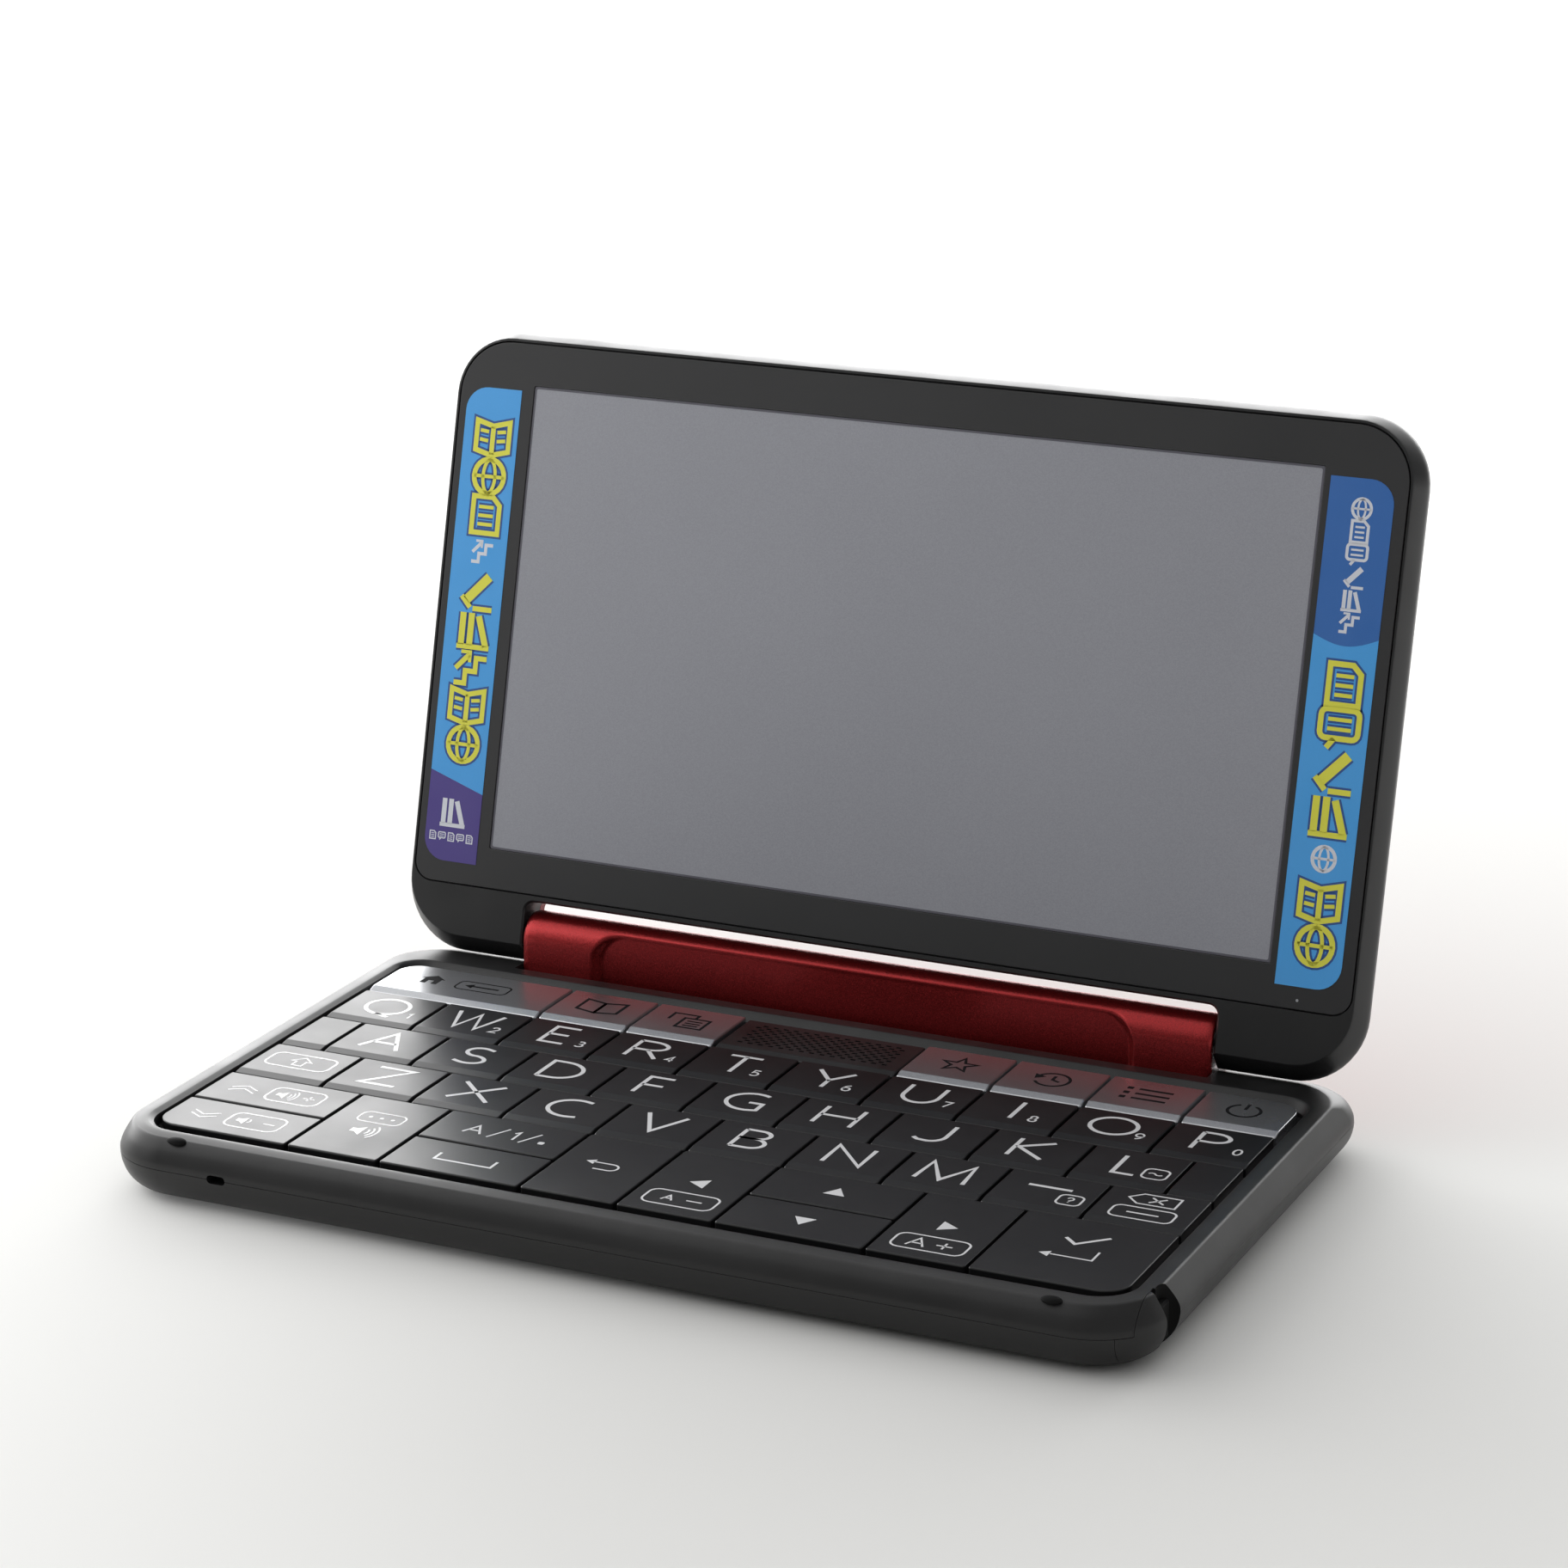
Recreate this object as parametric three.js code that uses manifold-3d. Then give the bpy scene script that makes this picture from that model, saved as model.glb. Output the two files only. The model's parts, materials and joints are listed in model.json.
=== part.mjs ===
import * as THREE from 'three';
import { mergeVertices } from 'three/addons/utils/BufferGeometryUtils.js';
import Module from 'manifold-3d';

// A pocket electronic dictionary, standing open on a table. All lengths are in millimetres.
// X runs to the right along the keyboard, Y away from the user and Z up.
// Pieces are worked out with Y = 0 on the two hinge axes and Z = 0 on the table.

const wasm = await Module();
wasm.setup();

// Whole object
const baseWidth = 151;
const baseReach = 89;
const rimHeight = 9.8;
const lidThickness = 6.8;
const openAngle = THREE.MathUtils.degToRad(103.6);

// Gaps
const seatGap = 0.3;
const seamGap = 0.25;
const closedGap = 0.37;
const earGap = 0.55;
const keyClearance = 0.3;
const overrun = 2;

// Base case
const footHeight = 0.4;
const footRadius = 4;
const footInset = 13;
const wallHeight = 4.3;
const floorThickness = 1.2;
const sideWall = 3.2;
const rimInsetSide = 2.45;
const rimInsetFront = 1.7;
const bottomInset = 4.8;
const frontCornerRadius = 10.5;
const rearCornerRadius = 9.5;
const baseEarRadius = 4;
const earLift = 0.17;
const deckSlope = THREE.MathUtils.degToRad(16);
const earWidth = 21;
const bayClearance = 0.3;

// Key field
const fieldMarginSide = 5.2;
const fieldMarginFront = 6.9;
const fieldMarginRear = 10;
const keyGap = 1;
const keyDrop = 0.6;
const keyHeight = 2.9;
const keyTravel = 0.8;
const pressedGap = 0.4;
const keyBevelRun = 1.7;
const keyBevelDrop = 0.2;
const functionKeyRise = 0.2;
const functionKeyBevelRun = 1.45;
const functionKeyBevelDrop = 0.4;
const keyCornerRadius = 3.6;
const wellLedge = 0.9;
const wellBevelSide = 1.2;
const wellBevelDrop = 1.2;
const wellBevelFront = 2.35;
const wellFrontRadius = 6;
const wellRearRadius = 4.6;
const webThickness = 1.1;
const webOverlap = 0.4;
const grilleDrop = 0.15;
const grilleHole = 0.8;
const grillePitch = 1.85;
const grilleBorder = 1.6;
const bumperLength = 2.6;
const bumperWidth = 1;
const bumperHeight = 0.22;
const bumperOffset = 12.4;
const microphoneLength = 2.8;
const microphoneHeight = 1.2;
const microphoneOffset = 19.6;
const socketDepth = 2.4;
const jackRadius = 1.8;
const jackFromRear = 30;
const chargerLength = 7.6;
const chargerHeight = 2.6;
const chargerFromRear = 46;
const screwHeadRadius = 2.2;
const screwHeadDepth = 0.6;
const screwInset = 24;

// Inside the base
const boardThickness = 1;
const boardMargin = 2.2;
const postRadius = 2;
const postInset = 6;
const speakerLength = 24;
const speakerDepth = 9;
const speakerHeight = 0.9;
const coverLength = 74;
const coverDepth = 46;
const coverThickness = 1;
const coverFromFront = 22;
const coverLip = 2;
const coverLedge = 1;
const coverScrewInset = 6;
const batteryMargin = 3;

// Stylus, stored along the right side
const stylusRadius = 1.5;
const stylusClearance = 0.3;
const stylusInset = 2.9;
const stylusHeight = 3.7;
const stylusLength = 70;
const stylusTipLength = 3;
const stylusTipRadius = 0.6;
const capLength = 9;
const notchLength = 4.1;
const capUpperInset = 2.5;
const capLowerInset = 4.4;
const neckAboveParting = 1.9;
const neckBelowParting = 3.3;
const neckInset = 1.1;
const neckWidth = 1.4;
const railWidth = 5.4;

// Hinge barrel
const barrelInset = 0.1;
const barrelEndGap = 0.3;
const barrelEndChamfer = 0.4;
const barrelEndChamferRun = 0.9;
const barrelWall = 1;
const pocketDepth = 2.6;
const plateThickness = 2;
const hingePinRadius = 1.5;
const hingePinReach = 10;
const hingePinClearance = 0.08;
const cableBoreRadius = 1.4;
const recessInset = 12;
const recessDepth = 0.45;
const recessMargin = 1.8;
const recessCornerRadius = 4.6;

// Lid
const lidSideSetback = 0.15;
const lidFrontSetback = 0.2;
const lidCornerRadius = 10;
const lidFaceInsetSide = 1.45;
const lidFaceInsetFar = 1.2;
const lidFaceInsetEar = 2.6;
const lidBackInsetSide = 2.3;
const lidBackInsetFar = 1.8;
const lidBackInsetEar = 3;
const backCoverThickness = 1.55;
const lidBayClearance = 0.6;
const lidBayCornerRadius = 1.5;
const bezelInset = 0.45;
const bezelThickness = 0.8;
const bezelCornerRadius = 8;
const bezelLowerCornerRadius = 2.8;
const bezelFromAxis = 5.8;
const screenMarginSide = 12.55;
const screenMarginFar = 6.6;
const screenMarginNear = 6.2;
const screenDrop = 0.4;
const screenEdgeGap = 0.2;
const moduleMargin = 2.2;

// Smoothness, as counts
const cornerSteps = 6;
const arcSteps = 10;
const roundSides = 16;

// Worked out from the sizes above
const halfWidth = baseWidth / 2;
const partingHeight = rimHeight - wallHeight;
const keyTop = rimHeight - keyDrop;
const keyBottom = keyTop - keyHeight;
const webBottom = keyBottom + webOverlap;
const webTop = webBottom + webThickness;
const boardTop = keyBottom - keyTravel - pressedGap;
const floorTop = footHeight + floorThickness;
const upperAxisHeight = rimHeight + closedGap + lidThickness / 2;
const lowerAxisHeight = footHeight + earLift + baseEarRadius;
const lidEarReach = upperAxisHeight - lowerAxisHeight - baseEarRadius - earGap;
const barrelRadius = baseEarRadius - barrelInset;
const bayDepth = barrelRadius + bayClearance;
const bayHalf = halfWidth - earWidth;
const barrelHalf = bayHalf - barrelEndGap;
const fieldFront = -baseReach + fieldMarginFront;
const fieldRear = -fieldMarginRear;
const lidHalf = halfWidth - lidSideSetback;
const lidReach = baseReach - lidFrontSetback;
const lidFace = -lidThickness / 2;
const lidBack = lidThickness / 2;
const backCoverBottom = lidBack - backCoverThickness;
const frameTop = backCoverBottom - seatGap;
const bezelHalf = lidHalf - lidFaceInsetSide - bezelInset;
const bezelFar = -lidReach + lidFaceInsetFar + bezelInset;
const bezelNear = -bezelFromAxis;
const bezelBack = lidFace + bezelThickness;
const screenHalf = bezelHalf - screenMarginSide;
const screenFar = bezelFar + screenMarginFar;
const screenNear = bezelNear - screenMarginNear;
const stylusX = halfWidth - stylusInset;
const capRear = -baseReach + capLength;
const notchRear = capRear + notchLength;

// Solids: booleans work on closed meshes whose corners are shared.
function solid(geometry) {
  const bare = geometry.clone();
  bare.deleteAttribute('normal');
  bare.deleteAttribute('uv');
  const merged = mergeVertices(bare);
  return new wasm.Manifold(new wasm.Mesh({
    numProp: 3,
    vertProperties: new Float32Array(merged.attributes.position.array),
    triVerts: new Uint32Array(merged.index.array),
  }));
}

function geometryOf(manifold) {
  const mesh = manifold.getMesh();
  const geometry = new THREE.BufferGeometry();
  geometry.setAttribute('position', new THREE.BufferAttribute(new Float32Array(mesh.vertProperties), 3));
  geometry.setIndex(new THREE.BufferAttribute(new Uint32Array(mesh.triVerts), 1));
  const faceted = geometry.toNonIndexed();
  faceted.computeVertexNormals();
  return faceted;
}

function cut(body, ...tools) {
  return tools.reduce((rest, tool) => rest.subtract(tool), body);
}

function join(body, ...more) {
  return more.reduce((whole, piece) => whole.add(piece), body);
}

// A block between two corners.
function block(x0, x1, y0, y1, z0, z1) {
  const geometry = new THREE.BoxGeometry(x1 - x0, y1 - y0, z1 - z0);
  geometry.translate((x0 + x1) / 2, (y0 + y1) / 2, (z0 + z1) / 2);
  return solid(geometry);
}

// A flat shape raised from z0 to z1.
function plate(shape, z0, z1) {
  const geometry = new THREE.ExtrudeGeometry(shape, {
    depth: z1 - z0, bevelEnabled: false, curveSegments: cornerSteps,
  });
  geometry.translate(0, 0, z0);
  return solid(geometry);
}

// A side profile drawn in Y and Z, run from x0 to x1.
function bar(shape, x0, x1) {
  const geometry = new THREE.ExtrudeGeometry(shape, {
    depth: x1 - x0, bevelEnabled: false, curveSegments: arcSteps,
  });
  const basis = new THREE.Matrix4().makeBasis(
    new THREE.Vector3(0, 1, 0), new THREE.Vector3(0, 0, 1), new THREE.Vector3(1, 0, 0),
  );
  geometry.applyMatrix4(basis);
  geometry.translate(x0, 0, 0);
  return solid(geometry);
}

// A round rod along X, centred on y and z.
function rodX(radius, x0, x1, y, z, endRadius = radius) {
  const geometry = new THREE.CylinderGeometry(endRadius, radius, x1 - x0, roundSides);
  geometry.rotateZ(-Math.PI / 2);
  geometry.translate((x0 + x1) / 2, y, z);
  return solid(geometry);
}

// A round rod along Y, with its rear end drawn in to endRadius.
function rodY(radius, y0, y1, x, z, endRadius = radius) {
  const geometry = new THREE.CylinderGeometry(endRadius, radius, y1 - y0, roundSides);
  geometry.translate(x, (y0 + y1) / 2, z);
  return solid(geometry);
}

// An upright round post.
function post(radius, x, y, z0, z1) {
  const geometry = new THREE.CylinderGeometry(radius, radius, z1 - z0, roundSides);
  geometry.rotateX(Math.PI / 2);
  geometry.translate(x, y, (z0 + z1) / 2);
  return solid(geometry);
}

// A rectangle with four round corners, given by its sides and its front and rear radii.
function roundedShape(x0, x1, y0, y1, frontRadius, rearRadius = frontRadius) {
  const shape = new THREE.Shape();
  shape.absarc(x1 - frontRadius, y0 + frontRadius, frontRadius, -Math.PI / 2, 0, false);
  shape.absarc(x1 - rearRadius, y1 - rearRadius, rearRadius, 0, Math.PI / 2, false);
  shape.absarc(x0 + rearRadius, y1 - rearRadius, rearRadius, Math.PI / 2, Math.PI, false);
  shape.absarc(x0 + frontRadius, y0 + frontRadius, frontRadius, Math.PI, Math.PI * 3 / 2, false);
  shape.closePath();
  return shape;
}

// Points round such a rectangle, the same count whatever its size.
function outline(x0, x1, y0, y1, frontRadius, rearRadius) {
  const corners = [
    [x1 - frontRadius, y0 + frontRadius, frontRadius, -Math.PI / 2],
    [x1 - rearRadius, y1 - rearRadius, rearRadius, 0],
    [x0 + rearRadius, y1 - rearRadius, rearRadius, Math.PI / 2],
    [x0 + frontRadius, y0 + frontRadius, frontRadius, Math.PI],
  ];
  const points = [];
  for (const [cx, cy, radius, start] of corners) {
    for (let step = 0; step <= cornerSteps; step += 1) {
      const angle = start + (Math.PI / 2) * (step / cornerSteps);
      points.push(new THREE.Vector2(cx + radius * Math.cos(angle), cy + radius * Math.sin(angle)));
    }
  }
  return points;
}

// A closed skin over rings of points. Each ring turns the same way, seen from the last ring.
function skin(rings) {
  const count = rings[0].length;
  const positions = rings.flat().flatMap((point) => [point.x, point.y, point.z]);
  const index = [];
  for (let ring = 0; ring + 1 < rings.length; ring += 1) {
    for (let i = 0; i < count; i += 1) {
      const a = ring * count + i;
      const b = ring * count + (i + 1) % count;
      index.push(a, b, b + count, a, b + count, a + count);
    }
  }
  const last = (rings.length - 1) * count;
  for (let i = 1; i + 1 < count; i += 1) {
    index.push(0, i + 1, i);
    index.push(last, last + i, last + i + 1);
  }
  const geometry = new THREE.BufferGeometry();
  geometry.setAttribute('position', new THREE.Float32BufferAttribute(positions, 3));
  geometry.setIndex(index);
  return solid(geometry);
}

// A skin over level rings, each a rounded rectangle drawn in from the widest one.
function levelSkin(extent, radii, levels) {
  const rings = levels.map(({ z, side, front, rear }) => {
    const frontRadius = Math.max(radii.front - side, seatGap);
    const rearRadius = Math.max(radii.rear - side, seatGap);
    const points = outline(
      extent.x0 + side, extent.x1 - side, extent.y0 + front, extent.y1 - rear, frontRadius, rearRadius,
    );
    return points.map((point) => new THREE.Vector3(point.x, point.y, z));
  });
  return skin(rings);
}

// The upright section of the barrel: two half rounds on the hinge axes.
function stadiumShape(radius) {
  const shape = new THREE.Shape();
  shape.absarc(0, lowerAxisHeight, radius, Math.PI, Math.PI * 2, false);
  shape.absarc(0, upperAxisHeight, radius, 0, Math.PI, false);
  shape.closePath();
  return shape;
}

function stadiumRing(radius, x) {
  const points = [];
  for (const [height, start] of [[lowerAxisHeight, Math.PI], [upperAxisHeight, 0]]) {
    for (let step = 0; step <= arcSteps; step += 1) {
      const angle = start + Math.PI * (step / arcSteps);
      points.push(new THREE.Vector3(x, radius * Math.cos(angle), height + radius * Math.sin(angle)));
    }
  }
  return points;
}

// Key plan: column and row cells, with the corner that the field rounds off.
const columns = 10;
const blockRowShare = 1.69;
const plainRows = 4;
const columnPitch = (baseWidth - 2 * fieldMarginSide) / columns;
const rowPitch = (fieldRear - fieldFront) / (plainRows + blockRowShare);
const letterRows = [
  { row: 1, start: 0, names: 'qwertyuiop' },
  { row: 2, start: 0.5, names: 'asdfghjkl' },
  { row: 3, start: 1, names: 'zxcvbnm' },
];
const half = blockRowShare / 2;
const namedKeys = [
  { name: 'home', from: 0, to: 2, row: 0, corner: 'rear_left' },
  { name: 'subject_1', from: 2, to: 3, row: 0 },
  { name: 'subject_2', from: 3, to: 4, row: 0 },
  { name: 'my_list', from: 6, to: 7, row: 0 },
  { name: 'history', from: 7, to: 8, row: 0 },
  { name: 'contents', from: 8, to: 9, row: 0 },
  { name: 'power', from: 9, to: 10, row: 0, corner: 'rear_right' },
  { name: 'shift', from: 0, to: 1, row: 3 },
  { name: 'long_dash', from: 8, to: 9, row: 3 },
  { name: 'delete', from: 9, to: 10, row: 3 },
  { name: 'page_up', from: 0, to: 1.5, row: 4, rows: half },
  { name: 'page_down', from: 0, to: 1.5, row: 4 + half, rows: half, corner: 'front_left' },
  { name: 'voice', from: 1.5, to: 2.5, row: 4, rows: blockRowShare },
  { name: 'letter_mode', from: 2.5, to: 4, row: 4, rows: half },
  { name: 'space', from: 2.5, to: 4, row: 4 + half, rows: half },
  { name: 'back', from: 4, to: 5, row: 4, rows: blockRowShare },
  { name: 'left', from: 5, to: 6, row: 4, rows: blockRowShare },
  { name: 'up', from: 6, to: 7.5, row: 4, rows: half },
  { name: 'down', from: 6, to: 7.5, row: 4 + half, rows: half },
  { name: 'right', from: 7.5, to: 8.5, row: 4, rows: blockRowShare },
  { name: 'enter', from: 8.5, to: 10, row: 4, rows: blockRowShare, corner: 'front_right' },
];
const blankCells = [
  { from: 0, to: 0.5, row: 2 },
  { from: 9.5, to: 10, row: 2 },
];
const grilleCell = { from: 4, to: 6, row: 0 };

function letterKeys() {
  return letterRows.flatMap(({ row, start, names }) => (
    [...names].map((name, place) => ({ name, from: start + place, to: start + place + 1, row }))
  ));
}

// The outline of the cap that stands in a cell, with half a key gap off each side.
function capRectangle({ from, to, row, rows = 1 }, grow = 0) {
  const margin = keyGap / 2 - grow;
  const left = -halfWidth + fieldMarginSide;
  return {
    x0: left + from * columnPitch + margin,
    x1: left + to * columnPitch - margin,
    y0: fieldRear - (row + rows) * rowPitch + margin,
    y1: fieldRear - row * rowPitch - margin,
  };
}

// A cap's side profile: upright, with the front edge sloped off.
function capProfile(y0, y1, bottom, top, bevelRun, bevelDrop) {
  const shape = new THREE.Shape();
  shape.moveTo(y0, bottom);
  shape.lineTo(y1, bottom);
  shape.lineTo(y1, top);
  shape.lineTo(y0 + bevelRun, top);
  shape.lineTo(y0, top - bevelDrop);
  shape.closePath();
  return shape;
}

// A rectangle with one corner rounded, for the caps at the corners of the field.
function cornerShape({ x0, x1, y0, y1 }, corner, radius) {
  const shape = new THREE.Shape();
  if (corner === 'front_right') {
    shape.absarc(x1 - radius, y0 + radius, radius, -Math.PI / 2, 0, false);
  } else {
    shape.lineTo(x1, y0);
  }
  if (corner === 'rear_right') {
    shape.absarc(x1 - radius, y1 - radius, radius, 0, Math.PI / 2, false);
  } else {
    shape.lineTo(x1, y1);
  }
  if (corner === 'rear_left') {
    shape.absarc(x0 + radius, y1 - radius, radius, Math.PI / 2, Math.PI, false);
  } else {
    shape.lineTo(x0, y1);
  }
  if (corner === 'front_left') {
    shape.absarc(x0 + radius, y0 + radius, radius, Math.PI, Math.PI * 3 / 2, false);
  } else {
    shape.lineTo(x0, y0);
  }
  shape.curves.shift();
  shape.closePath();
  return shape;
}

function keySolid(key) {
  const area = capRectangle(key);
  const silver = key.row === 0;
  const top = silver ? keyTop + functionKeyRise : keyTop;
  const run = silver ? functionKeyBevelRun : keyBevelRun;
  const drop = silver ? functionKeyBevelDrop : keyBevelDrop;
  const body = bar(capProfile(area.y0, area.y1, keyBottom, top, run, drop), area.x0, area.x1);
  if (!key.corner) {
    return body;
  }
  return body.intersect(plate(cornerShape(area, key.corner, keyCornerRadius), keyBottom, top));
}

// The base's rear edge at a height: round about the lower axis, then sloping up to the deck.
function rearEdge(height) {
  const slopeStart = lowerAxisHeight + baseEarRadius * Math.cos(deckSlope);
  if (height > slopeStart) {
    return baseEarRadius * Math.sin(deckSlope) - (height - slopeStart) / Math.tan(deckSlope);
  }
  return Math.sqrt(Math.max(baseEarRadius ** 2 - (height - lowerAxisHeight) ** 2, 0));
}

// Base: one outer form, parted into an upper and a lower case.
function baseForm() {
  const extent = { x0: -halfWidth, x1: halfWidth, y0: -baseReach, y1: baseEarRadius };
  const radii = { front: frontCornerRadius, rear: rearCornerRadius };
  const upperShares = [
    [0, 0], [0.16, 0.03], [0.28, 0.12], [0.42, 0.26], [0.58, 0.46],
    [0.68, 0.57], [0.8, 0.69], [0.9, 0.79], [0.96, 0.86], [1, 1],
  ];
  const lowerShares = [
    [1, 1], [0.96, 0.75], [0.91, 0.575], [0.863, 0.47], [0.765, 0.333],
    [0.65, 0.22], [0.53, 0.135], [0.36, 0.06], [0.2, 0.02],
  ];
  const upper = upperShares.map(([up, inward]) => ({
    z: partingHeight + wallHeight * up,
    side: rimInsetSide * inward,
    front: rimInsetFront * inward,
  }));
  const lower = lowerShares.map(([down, inward]) => ({
    z: partingHeight - (partingHeight - footHeight) * down,
    side: bottomInset * inward,
    front: bottomInset * inward,
  }));
  const levels = [...lower, ...upper].map((level) => ({
    ...level, rear: baseEarRadius - rearEdge(level.z),
  }));
  return levelSkin(extent, radii, levels);
}

function barrelBayCut() {
  return block(-bayHalf, bayHalf, -bayDepth, baseEarRadius + overrun, -overrun, rimHeight + overrun);
}

// The open corner that the stylus cap fills, and the finger notch behind it.
function capSpace(x0, z0, z1) {
  return block(x0, halfWidth + overrun, -baseReach - overrun, notchRear, z0, z1);
}

function keyWell() {
  const left = -halfWidth + fieldMarginSide;
  const floor = {
    x0: left + keyGap / 2 - wellLedge - wellBevelSide,
    x1: -left - keyGap / 2 + wellLedge + wellBevelSide,
    y0: fieldFront + keyGap / 2 - wellLedge - wellBevelFront,
    y1: fieldRear - keyGap / 2 + wellLedge,
  };
  const radii = { front: wellFrontRadius + wellBevelSide, rear: wellRearRadius };
  const levels = [
    { z: webTop, side: wellBevelSide, front: wellBevelFront, rear: 0 },
    { z: rimHeight - wellBevelDrop, side: wellBevelSide, front: wellBevelFront, rear: 0 },
    { z: rimHeight, side: 0, front: 0, rear: 0 },
    { z: rimHeight + overrun, side: 0, front: 0, rear: 0 },
  ];
  return levelSkin(floor, radii, levels);
}

function grilleBlock() {
  const area = capRectangle(grilleCell);
  const top = keyTop - grilleDrop;
  const panel = block(area.x0, area.x1, area.y0, area.y1, webTop - seatGap, top);
  const holes = [];
  const across = Math.floor((area.x1 - area.x0 - 2 * grilleBorder) / grillePitch);
  const along = Math.floor((area.y1 - area.y0 - 2 * grilleBorder) / grillePitch);
  const middleX = (area.x0 + area.x1) / 2;
  const middleY = (area.y0 + area.y1) / 2;
  for (let line = 0; line <= along; line += 1) {
    const shift = line % 2 === 0 ? 0 : grillePitch / 2;
    for (let place = 0; place < across; place += 1) {
      const x = middleX + (place - across / 2) * grillePitch + grillePitch / 4 + shift;
      const y = middleY + (line - along / 2) * grillePitch;
      holes.push(block(
        x - grilleHole / 2, x + grilleHole / 2, y - grilleHole / 2, y + grilleHole / 2,
        webBottom - overrun, top + overrun,
      ));
    }
  }
  return { panel, holes };
}

function bumpers() {
  const y1 = -baseReach + rimInsetFront + bumperWidth;
  return [-1, 1].map((side) => {
    const x = side * (halfWidth - bumperOffset);
    return block(
      x - bumperLength / 2, x + bumperLength / 2, y1 - bumperWidth, y1,
      rimHeight - wallHeight / 2, rimHeight + bumperHeight,
    );
  });
}

function microphoneCut() {
  const x = -halfWidth + microphoneOffset;
  return block(
    x - microphoneLength / 2, x + microphoneLength / 2, -baseReach - overrun, -baseReach + sideWall / 2,
    partingHeight - microphoneHeight / 2, partingHeight + microphoneHeight / 2,
  );
}

function upperCase(form) {
  const level = block(
    -halfWidth - overrun, halfWidth + overrun, -baseReach - overrun, baseEarRadius + overrun,
    partingHeight, rimHeight + overrun,
  );
  const { panel, holes } = grilleBlock();
  const blanks = blankCells.map((cell) => {
    const area = capRectangle(cell);
    const profile = capProfile(area.y0, area.y1, webTop - seatGap, keyTop, keyBevelRun, keyBevelDrop);
    return bar(profile, area.x0, area.x1);
  });
  const wells = allKeys().map((key) => {
    const area = capRectangle(key, keyClearance);
    return block(area.x0, area.x1, area.y0, area.y1, webBottom - overrun, webTop + overrun);
  });
  const shell = join(cut(form.intersect(level), keyWell(), hollow()), panel, ...blanks, ...bumpers());
  return cut(
    shell, ...wells, ...holes, ...axleBores(), stylusBore(), barrelBayCut(), microphoneCut(),
    capSpace(halfWidth - capUpperInset - stylusClearance, partingHeight - overrun, rimHeight + overrun),
  );
}

// The hollow inside both cases, with a thick right side that the stylus runs in.
function hollow() {
  const lowInset = bottomInset + floorThickness;
  const extent = { x0: -halfWidth, x1: halfWidth, y0: -baseReach, y1: -bayDepth - sideWall };
  const radii = { front: frontCornerRadius, rear: sideWall };
  const levels = [
    { z: floorTop, side: lowInset, front: lowInset, rear: 0 },
    { z: (floorTop + partingHeight) / 2, side: sideWall, front: sideWall, rear: 0 },
    { z: webBottom, side: sideWall, front: sideWall, rear: 0 },
  ];
  const rail = block(
    halfWidth - railWidth, halfWidth + overrun, -baseReach - overrun, baseEarRadius,
    -overrun, webBottom + overrun,
  );
  return cut(levelSkin(extent, radii, levels), rail);
}

// Bearings for the lower hinge pins, half in each case.
function axleBores() {
  return [-1, 1].map((side) => {
    const ends = [side * (bayHalf - overrun), side * (bayHalf + hingePinReach + seatGap)];
    const radius = hingePinRadius + hingePinClearance;
    return rodX(radius, Math.min(...ends), Math.max(...ends), 0, lowerAxisHeight);
  });
}

function stylusBore() {
  return rodY(
    stylusRadius + stylusClearance, capRear - 2 * stylusClearance, capRear + stylusLength + seatGap,
    stylusX, stylusHeight,
  );
}

function coverRectangle(grow) {
  return {
    x0: -coverLength / 2 - grow,
    x1: coverLength / 2 + grow,
    y0: -baseReach + coverFromFront - grow,
    y1: -baseReach + coverFromFront + coverDepth + grow,
  };
}

function coverBlock(grow, z0, z1) {
  const area = coverRectangle(grow);
  return plate(roundedShape(area.x0, area.x1, area.y0, area.y1, coverLip + grow), z0, z1);
}

function footPlaces() {
  const rows = [-baseReach + footInset, -footInset];
  return [-1, 1].flatMap((side) => rows.map((y) => [side * (halfWidth - footInset), y]));
}

function screwPlaces() {
  const rows = [-baseReach + footInset, -footInset];
  return [-1, 1].flatMap((side) => rows.map((y) => [side * (halfWidth - screwInset), y]));
}

function postPlaces() {
  const board = boardRectangle();
  const columnsX = [board.x0 + postInset, board.x1 - postInset];
  const rowsY = [board.y0 + postInset, board.y1 - postInset];
  return columnsX.flatMap((x) => rowsY.map((y) => [x, y]));
}

function lowerCase(form) {
  const top = partingHeight - seamGap;
  const level = block(
    -halfWidth - overrun, halfWidth + overrun, -baseReach - overrun, baseEarRadius + overrun, -overrun, top,
  );
  const feet = footPlaces().map(([x, y]) => post(footRadius, x, y, 0, footHeight + seamGap));
  const posts = postPlaces().map(([x, y]) => (
    post(postRadius, x, y, footHeight + floorThickness / 2, boardTop - boardThickness - seatGap)
  ));
  const screws = screwPlaces().map(([x, y]) => (
    post(screwHeadRadius, x, y, -overrun, footHeight + screwHeadDepth)
  ));
  const left = -halfWidth - overrun;
  const socketMiddle = (floorTop + top) / 2;
  const jack = rodX(jackRadius, left, -halfWidth + socketDepth, -jackFromRear, socketMiddle);
  const charger = block(
    left, -halfWidth + socketDepth,
    -chargerFromRear - chargerLength / 2, -chargerFromRear + chargerLength / 2,
    socketMiddle - chargerHeight / 2, socketMiddle + chargerHeight / 2,
  );
  const ledge = coverBlock(coverLip, footHeight + floorThickness / 2, floorTop + coverLedge);
  const shell = join(cut(form.intersect(level), hollow()), ledge, ...feet, ...posts);
  return cut(
    shell, ...screws, ...axleBores(), stylusBore(), jack, charger, barrelBayCut(), microphoneCut(),
    coverBlock(seatGap, -overrun, footHeight + coverThickness + seatGap),
    coverBlock(-coverLip, -overrun, floorTop + coverLedge + overrun),
    capSpace(halfWidth - capLowerInset - stylusClearance, -overrun, top + overrun),
  );
}

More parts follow.
